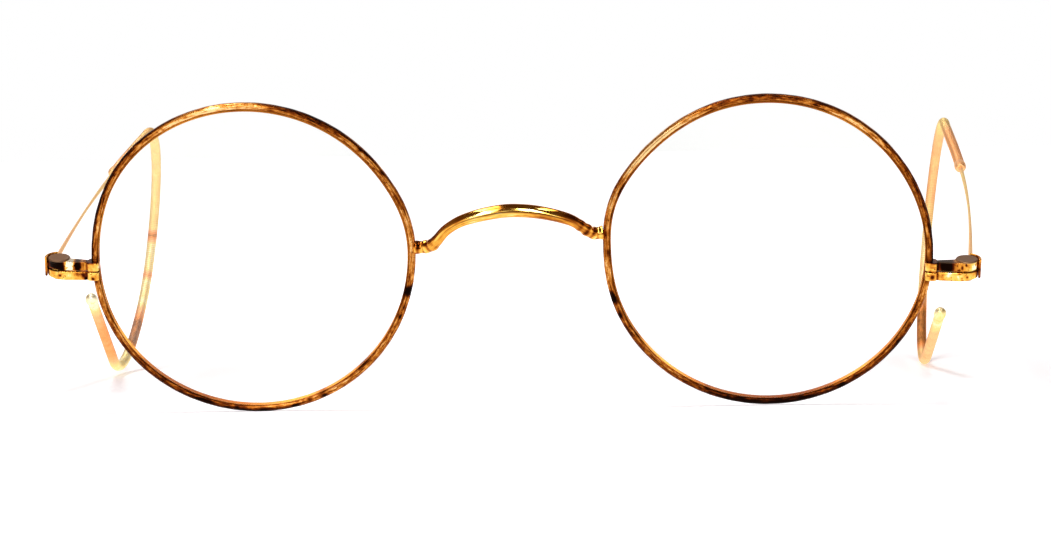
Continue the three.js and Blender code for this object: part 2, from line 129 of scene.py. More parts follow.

# What years of wear have done to each side, and the light painted onto it. Dents: angle from straight out,
# turning up, depth and spread. Stains: angle, spread, place across the wire from -1 inside to 1 outside,
# spread there, strength; besides stains and specks they hold painted highlights, the lighter patches of
# negative strength chiefly on the rims' tops and inner lips, and painted dark reflection and shade, the
# broad dark stretches along the outer edge and bottom. Marks: stains and pits on the upper and lower lug,
# with painted highlights of negative strength, painted dark reflections on the fronts of boss and neck and
# painted shade on the block's top, by place out along the lug, spread, height from the split, spread there,
# strength.
# Tint: tone along the temple from pale through peach to brown; its pale stretches are painted glare from
# the bright backdrop.
# The first lines say which way is out, how far the end piece is moved along it and how the temple runs:
# its start beside the hinge, fall, splay, bow, the lean and drift of its curl, and its tail's length.
SIDES = {
    "left": {
        "sign": -1, "end_shift": -0.15, "wire_out": 0.85, "slope": math.radians(6.65),
        "splay": math.radians(-0.2), "bow": 0.9, "curl_lean": math.radians(5.95),
        "curl_drift": 0.45, "tail": 33.0,
        "dents": [(3, -0.48, 20), (166, 0.3, 11), (212, -0.13, 20), (280, 0.1, 28)],
        "stains_and_painted_light": [
            (8, 14, 1.0, 0.5, 0.42), (34, 16, 1.0, 0.6, 0.4), (30, 22, -0.8, 0.6, -0.12),
            (65, 8, -0.1, 0.7, -0.36), (82, 9, 0.1, 0.8, -0.42), (112, 14, 1.0, 0.6, 0.36),
            (118, 12, 0.0, 0.9, 0.14), (131, 5, 0.1, 0.3, -0.2), (133, 0.6, 0.3, 0.3, 0.4),
            (144.5, 0.8, 0.6, 0.3, 0.5), (174, 9, -0.1, 1.2, -0.26), (190.5, 1.3, 0.1, 1.6, 1.0),
            (197, 0.6, 0.2, 0.3, 0.5), (201, 0.5, 0.0, 0.3, 0.4), (208, 0.6, -0.1, 0.3, 0.3),
            (224, 2.2, -0.8, 0.3, 0.6), (243.5, 0.9, 0.1, 0.4, 0.7), (249, 0.7, -0.2, 0.3, 0.4),
            (254.5, 1.0, 0.0, 0.35, 0.6), (252, 11, -0.85, 0.4, -0.32), (264, 12, 0.4, 1.0, 0.14),
            (146, 18, 0.0, 1.4, -0.08), (268, 9, 0.8, 0.5, 0.35), (296, 24, 0.3, 1.2, 0.36),
            (302, 7, -0.45, 0.25, -0.22), (324, 5, -0.9, 0.3, -0.4), (346, 4, 0, 1.4, -0.12),
            (356, 4, 0, 1.6, 0.3),
        ],
        "marks": {
            "upper": [
                (24.7, 0.8, 0.6, 3, 0.95), (23.75, 0.2, 0.6, 3, 0.5), (22.9, 0.42, 0.6, 2, -0.7),
                (21.92, 0.3, 0.7, 0.6, 1.3), (25.0, 0.4, 0.24, 0.05, -0.5), (21.15, 0.1, 0.8, 0.5, 0.3),
                (20.2, 0.5, 1.24, 0.12, 0.6),
            ],
            "lower": [
                (24.15, 0.14, -0.6, 0.12, 0.6), (21.9, 0.3, -0.4, 0.2, 0.35),
                (21.2, 0.2, -0.5, 0.3, 0.5), (20.9, 0.12, -1.0, 0.16, 0.9),
                (19.95, 0.14, -0.9, 0.14, 0.6), (23.0, 0.5, -0.7, 0.5, -0.12),
            ],
        },
        "tint": [
            (0, 0.34), (50, 0.2), (54, 0.36), (60, 0.3), (82, 0.2), (88, 0.12), (105, 0.12),
            (107.5, 0.1), (108.6, 0.75), (110, 0.04), (114, 0.04), (115, 0.5), (116, 0.0), (120, 0.04),
            (124, 0.8), (129, 0.8), (132, 0.04), (146, 0.06), (152, 0.5), (166, 0.54), (173, 0.3),
            (177, 0.0), (181, 0.0),
        ],
        "seed": 5,
    },
    "right": {
        "sign": 1, "end_shift": 0.2, "wire_out": 0.45, "slope": math.radians(5.58),
        "splay": math.radians(1.5), "bow": 1.28, "curl_lean": math.radians(-2.9),
        "curl_drift": 0.0, "tail": 24.0,
        "dents": [(30, -0.26, 24), (133, -0.12, 12), (163, 0.3, 10), (183, -0.12, 9), (305, -0.12, 24)],
        "stains_and_painted_light": [
            (6, 9, 1.0, 0.4, 0.4), (28, 20, 0.8, 0.9, 0.24), (58, 12, -0.1, 0.8, -0.4),
            (75, 0.7, 0.0, 0.3, 0.4), (97, 14, 0.8, 0.8, 0.3), (128, 8, 0.0, 0.7, -0.46),
            (141, 8, -0.1, 0.7, -0.48), (137, 16, -1.0, 0.25, 0.3), (157.5, 1.8, -0.9, 0.3, 0.8),
            (167, 7, 0.0, 1.2, -0.22), (181.5, 1.2, -0.6, 0.5, 0.4), (188, 4, 0.1, 0.8, -0.26),
            (196.5, 0.6, 0.5, 0.3, 0.4), (199, 1.3, 0.2, 0.5, 0.7), (206, 0.8, 0.3, 0.35, 0.6),
            (222, 14, 0.3, 0.9, 0.2), (231, 8, -0.95, 0.3, -0.4), (257, 0.4, 0.0, 0.4, 0.4),
            (270, 18, 0.3, 1.2, 0.8), (299.5, 0.9, 0.1, 0.4, 0.8), (305, 7, -0.95, 0.3, -0.4),
            (318, 16, 0.4, 0.9, 0.26), (346, 4, 0, 1.4, -0.14), (356, 4, 0, 1.6, 0.3),
        ],
        "marks": {
            "upper": [
                (22.2, 0.42, 0.7, 1.2, 1.0), (21.5, 0.34, 1.05, 0.3, 0.9), (21.6, 0.3, 0.45, 0.3, 0.34),
                (23.7, 0.7, 0.7, 2, 0.16), (23.32, 0.1, 0.27, 0.1, 0.5), (23.78, 0.1, 0.57, 0.2, 0.5),
                (24.3, 0.1, 0.88, 0.1, 0.5), (25.2, 0.4, 0.7, 0.6, -0.15), (20.2, 0.3, 0.6, 0.05, 0.3),
                (21.35, 0.25, 0.6, 1, 0.6), (20.8, 0.1, 0.6, 2, 0.4), (20.2, 0.5, 1.24, 0.12, 0.6),
            ],
            "lower": [
                (24.47, 0.1, -0.68, 0.1, 0.5), (20.16, 0.2, -0.65, 0.22, 0.7),
                (21.4, 0.2, -0.6, 0.5, 0.25), (22.6, 0.7, -0.7, 0.4, -0.15),
                (23.8, 0.08, -0.8, 0.08, 0.4),
            ],
        },
        "tint": [
            (0, 0.34), (30, 0.2), (48, 0.2), (53, 0.42), (56, 0.4), (68, 0.44), (80, 0.1), (86, 0.12),
            (92, 0.3), (104, 0.26), (112, 0.08), (120, 0.08), (124, 0.78), (131, 0.78), (136, 0.2),
            (148, 0.34), (162, 0.26), (166, 0.0), (169, 0.1), (171, 0.4),
        ],
        "seed": 11,
    },
}

# Photograph's frame and where the middle of the front stands in it, in pixels
FRAME_SIZE = (1051, 548)
FRONT_PIXEL = (508.55, 255.08)

# Lamps whose highlights lie along the bridge: heading from the pair, heading of the long side, width
# and length
LAMPS = [
    ("left_pane", (-0.3, -0.83, 0.47), (0, 0.5, 0.86), 0.11, 0.85),
    ("middle_pane", (0.07, -0.955, 0.27), (0, 0, 1), 0.12, 0.5),
    ("left_strip", (-0.325, 0.05, 0.945), (0, 1, 0), 0.16, 0.6),
    ("right_strip", (0.262, -0.12, 0.957), (0, 1, 0), 0.065, 0.7),
]
LAMP_DISTANCE = 0.8

# Tones painted on each piece's points: tarnish, which also carries painted highlights, dark reflections and
# shade, and dulling
TONES = ("tarnish_and_sheen", "dulling")
# Sockets of a Map Range node, in the order in which its rows are written
RANGE = ("Value", "From Min", "From Max", "To Min", "To Max")
# Die lines: 1.8 mm long and 0.17 mm wide, coarser than real ones so that they show
STREAKS_PER_MM = (0.55, 6.0, 1.0)

# Golds: colours along the tarnish, dull colour, roughness from clean to tarnished, then the strengths
# of streaks, blotches and specks, the size of a speck in millimetres and the strength of the relief
GOLDS = {
    # Rolled gold over brass, drawn through a die and handled for decades: streaks along the wire,
    # amber where it is thin, dark where sweat has stained it; painted highlights and dark reflections come
    # through the same tones
    "rolled_gold_tarnished": (
        [(0.0, "rubbed_gold_and_highlight"), (0.16, "honey"), (0.38, "amber"), (0.62, "brown"), (0.82, "umber"),
         (1.0, "oxide")],
        "brown", (0.28, 0.5), 0.36, 0.12, 0.5, 0.2, 0.5,
    ),
    # Rolled gold of the bridge, rubbed bright by the nose, with tarnish left only by its feet; bands of
    # painted reflection and highlight run along it
    "rolled_gold_polished": (
        [(0.0, "flash"), (0.12, "bright"), (0.3, "polished"), (0.5, "amber"), (0.72, "brown"),
         (1.0, "oxide")],
        "worn", (0.05, 0.2), 0.18, 0.06, 0.0, 0.45, 0.0,
    ),
    # Cast and filed end pieces: bright, with casting pits that hold dirt, and with painted highlights, dark
    # reflections and shade in their marks
    "cast_gold_pitted": (
        [(0.0, "flash"), (0.1, "bright"), (0.3, "polished"), (0.48, "amber"), (0.66, "pit"),
         (1.0, "oxide")],
        "worn", (0.16, 0.4), 0.05, 0.16, 0.5, 0.36, 0.3,
    ),
    # Springy gold-filled wire, kept clean by hair and skin, and painted paler than the rims: its pale
    # tones stand in for the glare of the bright backdrop
    "gold_filled_wire": (
        [(0.0, "pale"), (0.12, "straw"), (0.35, "peach"), (0.65, "copper"), (1.0, "bronze")],
        "bronze", (0.5, 0.6), 0.06, 0.06, 0.1, 0.6, 0.1,
    ),
    # Turned brass, dull in its slot
    "screw_brass": (
        [(0.0, "brass"), (0.6, "brown"), (1.0, "oxide")], "worn", (0.3, 0.5), 0.05, 0.1, 0.3, 0.3, 0.3,
    ),
}


def linear(code):
    """Linear RGB of an sRGB hex colour: each channel through the sRGB curve."""
    srgb = np.array([int(code[i : i + 2], 16) for i in (1, 3, 5)]) / 255
    return tuple(np.where(srgb <= 0.04045, srgb / 12.92, ((srgb + 0.055) / 1.055) ** 2.4).tolist())


def length(name, description, default):
    """A length in metres that a user may change."""
    return FloatProperty(
        name=name, description=description, default=default * MM, unit="LENGTH", precision=5, min=0.0
    )


def turning(name, description, default):
    """An angle that a user may change, its default in degrees."""
    return FloatProperty(
        name=name, description=description, default=math.radians(default), unit="ROTATION"
    )


def tone(name, description, default):
    """A colour that a user may change."""
    return FloatVectorProperty(
        name=name, description=description, default=linear(default), subtype="COLOR", min=0.0, max=1.0
    )


class SpectacleSizes(bpy.types.PropertyGroup):
    """Sizes of the pieces, in step with the CAD model."""

    rim_radius: length("Rim radius", "Middle of the rim wire", 20.06)
    bridge_crest: length("Bridge crest", "Radius of the bridge wire at its crest", 0.86)
    bridge_arm: length("Bridge arm", "Radius of the bridge wire on its arms", 0.69)
    bridge_foot: length("Bridge foot", "Radius of the bridge wire at its feet", 0.82)
    lug_edge: length("Lug edge", "Rounding of the end pieces' edges", 0.13)
    shank_radius: length("Shank radius", "Radius of the straight temple wire", 0.28)
    shank_waist: length("Shank waist", "How much thinner the straight wire is at its middle", 0.1)
    core_radius: length("Core radius", "Radius of the wire inside the cable", 0.26)
    cable_radius: length("Cable radius", "Outside of the winding", 0.72)
    cable_bore: length("Cable bore", "Inside of the winding", 0.44)
    winding_pitch: length("Winding pitch", "Distance between two turns of the winding", 0.3)
    ferrule_radius: length("Ferrule radius", "Fullest radius of the sleeve", 0.8)
    tip_radius: length("Tip radius", "Fullest radius of the end bead", 0.84)


class SpectacleFinishes(bpy.types.PropertyGroup):
    """Colours of the metals, the glass and the table."""

    # Lightest rim tone: rubbed gold, and also the colour of the rims' painted highlights
    rubbed_gold_and_highlight: tone("Fresh gold", "Rim gold where it is rubbed bright", "#ffd898")
    honey: tone("Honey", "Rim gold a little dulled", "#e8a452")
    amber: tone("Amber", "Rim gold under a thin tarnish", "#b4681f")
    brown: tone("Brown", "Rim gold under a thick tarnish", "#702f08")
    umber: tone("Umber", "Edge of a stain", "#3a1506")
    oxide: tone("Oxide", "Heart of a stain", "#120603")
    # Bare metal is also the colour that the painted highlights of bridge and end pieces reach
    flash: tone("Bare metal", "Where the gold is rubbed through", "#fff6dc")
    bright: tone("Bright gold", "Filed faces of the end pieces", "#ffd76c")
    polished: tone("Polished gold", "Bridge and end pieces", "#eca43e")
    pit: tone("Pit", "Pits in the cast end pieces", "#5a1e08")
    worn: tone("Worn flat", "Dull tops of the end pieces", "#8f6f56")
    # Pale and straw gold give the temples their painted glare from the bright backdrop
    pale: tone("Pale gold", "Lightest stretch of a temple", "#fff8d8")
    straw: tone("Straw gold", "Light tone of a temple", "#ffe694")
    peach: tone("Peach gold", "Middle tone of a temple", "#ffc890")
    copper: tone("Copper gold", "Darker tone of a temple", "#f8a458")
    bronze: tone("Bronze", "Stained stretch of a temple", "#875a34")
    brass: tone("Screw brass", "Hinge screws", "#d8a552")
    glass: tone("Glass", "Clear crown glass", "#fdfefd")
    table: tone("Table", "White card under the pair", "#efeff2")


class SpectacleStage(bpy.types.PropertyGroup):
    """Camera and light."""

    distance: length("Camera distance", "From the camera to the middle of the front", 450)
    focal: FloatProperty(
        name="Focal length", description="Lens of the camera in millimetres on a 36 mm sensor",
        default=123.99, min=1.0,
    )
    yaw: turning("Yaw", "Camera's turn round the pair", 3.19)
    pitch: turning("Pitch", "Camera's height as an angle", 2.2)
    roll: turning("Roll", "Camera's tilt", 0.94)
    lamp_level: FloatProperty(
        name="Lamp level", description="Brightness of the lamps, where 1 is a white card",
        default=8.0, min=0.0,
    )


# Places: every piece is worked out in its own frame and seated in the part's frame


def turned(points, angle):
    """Points turned about the front-to-back axis, from up towards right."""
    x, y, z = np.moveaxis(points, -1, 0)
    c, s = math.cos(angle), math.sin(angle)
    return np.stack([x * c + z * s, y, z * c - x * s], -1)


def stand(points):
    """Front leant towards the viewer and set down on the table."""
    x, y, z = np.moveaxis(points, -1, 0)
    c, s = math.cos(LEAN), math.sin(LEAN)
    return np.stack([x, y * c - z * s, y * s + z * c], -1) + FRONT_ORIGIN


def seat_half(points, side):
    """Rim frame, x outwards, to the part: mirrored, twisted and moved out to its rim centre."""
    placed = turned(points * [side["sign"], 1, 1], RIM_TWIST)
    return stand(placed + [side["sign"] * RIM_SPACING / 2, 0, 0])


def seat_end(points, side):
    """End piece frame, heights from the split, to the part."""
    return seat_half(points + [side["end_shift"], 0, -SPLIT_DROP], side)


def seat_hinge(points, side):
    """Temple frame, from the hinge axis, to the part."""
    return seat_end(points + [HINGE[0], HINGE[1], 0], side)


# Curves


def unit(vectors):
    """Vectors divided by their lengths."""
    return vectors / np.linalg.norm(vectors, axis=-1, keepdims=True)


def full_turn(count):
    """Even steps round a whole turn, from 0."""
    return np.linspace(0, 2 * math.pi, count, endpoint=False)


def headings(angle):
    """Unit steps in plan at each angle."""
    return np.stack([np.cos(angle), np.sin(angle)], -1)


def wrapped(angle):
    """Angle brought to between minus and plus half a turn."""
    return (angle + math.pi) % (2 * math.pi) - math.pi


def rise(value, low, high):
    """Smooth step: 0 below low, 1 above high, with level ends."""
    t = np.clip((value - low) / (high - low), 0, 1)
    return t * t * (3 - 2 * t)


def bell(gap, spread):
    """Bell curve: exp of minus half the squared gap over its spread."""
    return np.exp(-0.5 * (gap / spread) ** 2)


def turn_bell(angle, at, spread):
    """Bell about an angle, with its place and spread in degrees."""
    return bell(wrapped(angle - math.radians(at)), math.radians(spread))


def out_of_round(dents, angle):
    """Sum of bell-shaped dents, each a height times its bell."""
    return sum(by * turn_bell(angle, at, spread) for at, by, spread in dents)


def resampled(points, count, ends=True):
    """Line drawn anew at even steps along itself, and the distance along it at each step."""
    run = np.concatenate([[0], np.cumsum(np.linalg.norm(np.diff(points, axis=0), axis=1))])
    at = np.linspace(0, run[-1], count, endpoint=ends)
    return np.stack([np.interp(at, run, column) for column in points.T], -1), at


def corner_cut(points, rounds, share=0.22):
    """Closed outline with each corner cut at a share of its sides, several times over."""
    for _ in range(rounds):
        ahead = np.roll(points, -1, 0)
        points = np.stack([points + (ahead - points) * share, ahead + (points - ahead) * share], 1)
        points = points.reshape(-1, points.shape[-1])
    return points


def even_outline(points, count, softness):
    """Closed outline resampled at even steps, then blurred along itself by a bell of some steps."""
    even, _ = resampled(np.concatenate([points, points[:1]]), count, ends=False)
    blur = bell(2 * math.pi * np.fft.fftfreq(count) * softness, 1.0)[:, None]
    return np.fft.ifft(np.fft.fft(even, axis=0) * blur, axis=0).real


def spline(points, per_span):
    """Centripetal Catmull-Rom curve through the points, then resampled at even steps."""
    first, last = 2 * points[0] - points[1], 2 * points[-1] - points[-2]
    p = np.concatenate([[first], points, [last]])
    gap = np.linalg.norm(np.diff(p, axis=0), axis=1)[:, None] ** 0.5
    p0, p1, p2, p3 = p[:-3], p[1:-2], p[2:-1], p[3:]
    d0, d1, d2 = gap[:-2], gap[1:-1], gap[2:]
    m1 = ((p1 - p0) / d0 - (p2 - p0) / (d0 + d1) + (p2 - p1) / d1) * d1
    m2 = ((p2 - p1) / d1 - (p3 - p1) / (d1 + d2) + (p3 - p2) / d2) * d1
    t = np.linspace(0, 1, per_span, endpoint=False)[:, None, None]
    h = [2 * t**3 - 3 * t**2 + 1, t**3 - 2 * t**2 + t, 3 * t**2 - 2 * t**3, t**3 - t**2]
    curve = h[0] * p1 + h[1] * m1 + h[2] * p2 + h[3] * m2
    curve = np.concatenate([np.swapaxes(curve, 0, 1).reshape(-1, 3), points[-1:]])
    return resampled(curve, len(curve))


def temple_length(side):
    """Length along the temple: shank, each arc's radius times its turn, and tail."""
    return STRAIGHT_END + sum(radius * turn for radius, turn in CURL_ARCS) + side["tail"]


def temple_line(run, side):
    """Temple's middle line: straight, three arcs and a tail in profile, with splay, bow and lean."""
    heading = side["slope"]
    straight = np.minimum(run, STRAIGHT_END)
    back, height = straight * math.cos(heading), -straight * math.sin(heading)
    left = run - STRAIGHT_END
    for radius, turn in CURL_ARCS:
        swept = heading + np.clip(left / radius, 0, turn)
        back = back + radius * (np.sin(swept) - math.sin(heading))
        height = height + radius * (np.cos(swept) - math.cos(heading))
        heading += turn
        left = left - radius * turn
    tail = np.maximum(left, 0)
    back, height = back + tail * math.cos(heading), height - tail * math.sin(heading)
    drop = -(height + back * math.tan(side["slope"]))
    past = np.maximum(0, run - STRAIGHT_END) / (temple_length(side) - STRAIGHT_END)
    bowing = side["bow"] * np.sin(math.pi * np.minimum(run / STRAIGHT_END, 1))
    out = side["wire_out"] + back * math.tan(side["splay"]) + bowing
    out = out + drop * math.tan(side["curl_lean"]) + side["curl_drift"] * past
    return np.stack([out, back, TONGUE_RISE + height], -1)


def spokes(ahead, sideways, cols):
    """Unit spokes across a line: each column's cosine sideways and its sine upwards."""
    across = unit(sideways - ahead * (ahead @ sideways)[:, None])
    up = np.cross(ahead, across)
    angle = full_turn(cols)
    return np.cos(angle)[:, None] * across[:, None] + np.sin(angle)[:, None] * up[:, None]


def tube(line, radius, sideways, cols):
    """Rings about a line: at each point, its radius times the spokes across the line."""
    reach = np.asarray(radius, float)
    reach = reach[:, None] if reach.ndim == 1 else reach
    return line[:, None] + reach[..., None] * spokes(unit(np.gradient(line, axis=0)), sideways, cols)


def on_temple(profile, start, side, cols):
    """Turned shape on the temple line: rings of the profile's radius at its distance along the line."""
    run, reach, step = start + profile[:, 0], profile[:, 1], 0.05
    ahead = unit(temple_line(run + step, side) - temple_line(run - step, side))
    return temple_line(run, side)[:, None] + reach[:, None, None] * spokes(ahead, OUTWARDS, cols)


def rounded(profile, steps):
    """Turned profile drawn finer: even steps along it, with its inner corners blurred."""
    fine, _ = resampled(np.array(profile, float), steps)
    for _ in range(3):
        fine[1:-1] = (fine[:-2] + 2 * fine[1:-1] + fine[2:]) / 4
    return fine


# Meshes


def shell(points, tarnish_and_sheen=0.0, dulling=0.0, keep=None):
    """One closed surface: a grid whose columns close, with its tones and its distances as UV."""
    rows, cols = points.shape[:2]
    loop = np.concatenate([points, points[:, :1]], 1)
    along = np.linalg.norm(np.diff(points, axis=0), axis=-1).max(1)
    around = np.linalg.norm(np.diff(loop, axis=1), axis=-1).max(0)
    u = np.concatenate([[0], np.cumsum(along)])[:, None] + np.zeros(cols + 1)
    v = np.concatenate([[0], np.cumsum(around)]) + np.zeros((rows, 1))
    kept = np.ones((rows - 1, cols), bool) if keep is None else keep
    marks = [np.broadcast_to(np.asarray(m, float), (rows, cols)).ravel() for m in (tarnish_and_sheen, dulling)]
    return {"points": points, "uv": np.stack([u, v], -1), "marks": marks, "keep": kept}


def capped(points):
    """Grid closed at both ends: a ring drawn together at its middle is added before and after."""
    first = np.broadcast_to(points[:1].mean(1, keepdims=True), points[:1].shape)
    last = np.broadcast_to(points[-1:].mean(1, keepdims=True), points[-1:].shape)
    return np.concatenate([first, points, last])


def ends_repeated(values):
    """Values of each ring with the first and last given twice, for a grid closed at both ends."""
    return np.concatenate([values[:1], values, values[-1:]])


def weld(mesh, gap, closed=True):
    """Joins points that lie within a gap in metres, and turns a closed surface's faces outwards."""
    work = bmesh.new()
    work.from_mesh(mesh)
    bmesh.ops.remove_doubles(work, verts=work.verts, dist=gap)
    if closed:
        bmesh.ops.recalc_face_normals(work, faces=work.faces)
    work.to_mesh(mesh)
    work.free()


def build_piece(name, shells, material, body, nodes):
    """Puts shells in millimetres of the part's frame into one mesh and fits it in the CAD frame."""
    places, corners, uvs, start = [], [], [], 0
    for part in shells:
        rows, cols = part["points"].shape[:2]
        row, col = np.nonzero(part["keep"])
        quad = [(row, col), (row + 1, col), (row + 1, col + 1), (row, col + 1)]
        corners.append(np.stack([start + r * cols + c % cols for r, c in quad], -1))
        uvs.append(np.stack([part["uv"][r, c] for r, c in quad], 1))
        places.append(part["points"].reshape(-1, 3) * MM)
        start += rows * cols
    corners, uvs, places = np.concatenate(corners), np.concatenate(uvs), np.concatenate(places)
    mesh = bpy.data.meshes.new(name)
    mesh.vertices.add(len(places))
    mesh.loops.add(corners.size)
    mesh.polygons.add(len(corners))
    mesh.vertices.foreach_set("co", places.ravel())
    mesh.loops.foreach_set("vertex_index", corners.ravel())
    mesh.polygons.foreach_set("loop_start", np.arange(0, corners.size, 4))
    mesh.update(calc_edges=True)
    mesh.uv_layers.new(name="Surface").data.foreach_set("uv", uvs.ravel())
    for i, label in enumerate(TONES):
        values = np.concatenate([part["marks"][i] for part in shells])
        mesh.attributes.new(label, "FLOAT", "POINT").data.foreach_set("value", values)
    weld(mesh, 1e-7)
    mesh.polygons.foreach_set("use_smooth", np.ones(len(mesh.polygons), bool))
    mesh.set_sharp_from_angle(angle=math.radians(40))
    mesh.materials.append(material)
    piece = bpy.data.objects.new(name, mesh)
    bpy.context.scene.collection.objects.link(piece)
    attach(piece, body)
    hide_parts(*nodes)
    return piece


# Finishes


def add(tree, kind, inputs=(), stops=(), **settings):
    """Adds a node, sets its fields and a ramp's stops, and sets or links its inputs by name or number."""
    made = tree.nodes.new(kind)
    for field, value in settings.items():
        setattr(made, field, value)
    for i, (place, colour) in enumerate(stops):
        elements = made.color_ramp.elements
        element = elements[i] if i < len(elements) else elements.new(place)
        element.position, element.color = place, (*colour, 1.0)
    for key, value in dict(inputs).items():
        if isinstance(value, bpy.types.NodeSocket):
            tree.links.new(value, made.inputs[key])
        else:
            made.inputs[key].default_value = value
    return made


def blank_material(name):
    """New material with an empty tree, its shader and its output."""
    material = bpy.data.materials.new(name)
    material.use_nodes = True
    tree = material.node_tree
    tree.nodes.clear()
    shader = add(tree, "ShaderNodeBsdfPrincipled")
    add(tree, "ShaderNodeOutputMaterial", {"Surface": shader.outputs[0]})
    return material, tree, shader


def gilt(name, stops, dull, rough, streaks, blotch, specks, speck_size, relief):
    """Worn gold: stops along the tarnish, streaks along the wire, blotches, dark specks of a size in mm.

    Tarnish value = painted tarnish, which also carries painted highlights, dark reflections and shade,
    + streaks x (stretched noise) + blotch x (noise three specks wide) + specks x (fine noise cut off at its
    peaks). It drives colour and roughness, and the same noises lift the surface by the relief.
    """
    colours = bpy.context.scene.spectacle_finishes
    stops = [(place, getattr(colours, label)) for place, label in stops]
    material, tree, shader = blank_material(name)
    painted, dulling = [
        add(tree, "ShaderNodeAttribute", attribute_name=label).outputs["Fac"] for label in TONES
    ]
    surface = add(tree, "ShaderNodeUVMap", uv_map="Surface").outputs["UV"]
    place = add(tree, "ShaderNodeTexCoord").outputs["Object"]
    drawn = add(tree, "ShaderNodeMapping", {"Vector": surface, "Scale": STREAKS_PER_MM}).outputs[0]
    noises = []
    for where, scale, detail in (
        (drawn, 1.0, 5.0), (place, 1 / (3 * speck_size * MM), 2.0), (place, 1 / (speck_size * MM), 3.0)
    ):
        settings = {"Vector": where, "Scale": scale, "Detail": detail, "Roughness": 0.6}
        noises.append(add(tree, "ShaderNodeTexNoise", settings).outputs["Fac"])
    total = painted
    for row in (
        (noises[0], 0.3, 0.7, -streaks, streaks), (noises[1], 0.3, 0.7, -blotch, blotch),
        (noises[2], 0.58, 0.72, 0.0, specks),
    ):
        share = add(tree, "ShaderNodeMapRange", zip(RANGE, row)).outputs[0]
        total = add(tree, "ShaderNodeMath", {0: total, 1: share}, operation="ADD").outputs[0]
    colour = add(tree, "ShaderNodeValToRGB", {"Fac": total}, stops).outputs["Color"]
    dull = (*getattr(colours, dull), 1.0)
    colour = add(tree, "ShaderNodeMix", {"Factor": dulling, 6: colour, 7: dull}, data_type="RGBA")
    roughness = add(tree, "ShaderNodeMapRange", zip(RANGE, (total, 0.0, 1.0, *rough))).outputs[0]
    roughness = add(
        tree, "ShaderNodeMath", {0: dulling, 1: 0.3, 2: roughness}, operation="MULTIPLY_ADD"
    ).outputs[0]
    height = add(tree, "ShaderNodeMath", {0: noises[0], 1: noises[2]}, operation="SUBTRACT").outputs[0]
    bump = add(tree, "ShaderNodeBump", {"Height": height, "Strength": relief, "Distance": 0.03 * MM})
    for socket, value in (
        ("Base Color", colour.outputs[2]), ("Roughness", roughness), ("Normal", bump.outputs[0])
    ):
        tree.links.new(value, shader.inputs[socket])
    shader.inputs["Metallic"].default_value = 1.0
    return material


def crown_glass(name):
    """Ground and polished crown glass: clear, with a faint rubbed haze in patches of 6 mm. Its matt edge
    is painted with the gold of the groove that it lies in: a painted reflection of the groove seen through
    it."""
    c = bpy.context.scene.spectacle_finishes
    material, tree, shader = blank_material(name)
    place = add(tree, "ShaderNodeTexCoord").outputs["Object"]
    haze = add(tree, "ShaderNodeTexNoise", {"Vector": place, "Scale": 1 / (6 * MM), "Detail": 2.0})
    rubbed = zip(RANGE, (haze.outputs["Fac"], 0.4, 0.8, 0.0, 0.03))
    rubbed = add(tree, "ShaderNodeMapRange", rubbed).outputs[0]
    painted, ground = [
        add(tree, "ShaderNodeAttribute", attribute_name=label).outputs["Fac"] for label in TONES
    ]
    matt = add(tree, "ShaderNodeMath", {0: ground, 1: 0.4, 2: rubbed}, operation="MULTIPLY_ADD").outputs[0]
    clear = add(tree, "ShaderNodeMath", {0: 1.0, 1: ground}, operation="SUBTRACT").outputs[0]
    shine = add(tree, "ShaderNodeMath", {0: clear, 1: 0.5}, operation="MULTIPLY").outputs[0]
    # Painted reflection: the ground edge takes the gold of the groove seen through it
    stops = [(0.0, c.bright), (0.3, c.polished), (0.58, c.amber), (0.9, c.brown)]
    groove = add(tree, "ShaderNodeValToRGB", {"Fac": painted}, stops).outputs["Color"]
    body = add(tree, "ShaderNodeMix", {"Factor": ground, 6: (*c.glass, 1.0), 7: groove}, data_type="RGBA")
    for socket, value in (
        ("Roughness", matt), ("Transmission Weight", clear), ("Specular IOR Level", shine),
        ("Base Color", body.outputs[2]),
    ):
        tree.links.new(value, shader.inputs[socket])
    shader.inputs["IOR"].default_value = 1.5
    return material


def finish_named(name):
    """The finish of that name, made once."""
    made = bpy.data.materials.get(name)
    if made:
        return made
    return crown_glass(name) if name == "crown_glass" else gilt(name, *GOLDS[name])


# Pieces


def rim_wear_and_light(angle, across, side):
    """Tarnish and painted light on a rim: a slow wave, a painted dark reflection on the outer side, the
    side's stains with their painted highlights, dark reflections and shade, and seeded specks, each a bell
    in both ways.
    """
    dice = np.random.default_rng(side["seed"])
    base, wave_strength, slow, quick = 0.41, 0.06, 3, 7
    wave = np.sin(slow * angle + side["seed"]) + np.sin(quick * angle) * across
    # The across term paints the outer side of the wire darker all round: a painted dark reflection
    total = base + wave_strength * (across + wave)
    # Stains, painted highlights and painted dark reflection and shade, each a bell round the rim and across
    # it
    for at, spread, where, width, strength in side["stains_and_painted_light"]:
        total = total + strength * turn_bell(angle, at, spread) * bell(across - where, width)
    count, speck_width = 70, 0.22
    for at, where, size, strength in zip(
        dice.uniform(0, 2 * math.pi, count), dice.uniform(-1, 1, count),
        dice.uniform(0.006, 0.04, count), dice.uniform(0.05, 0.3, count),
    ):
        total = total + strength * bell(wrapped(angle - at), size) * bell(across - where, speck_width)
    return total


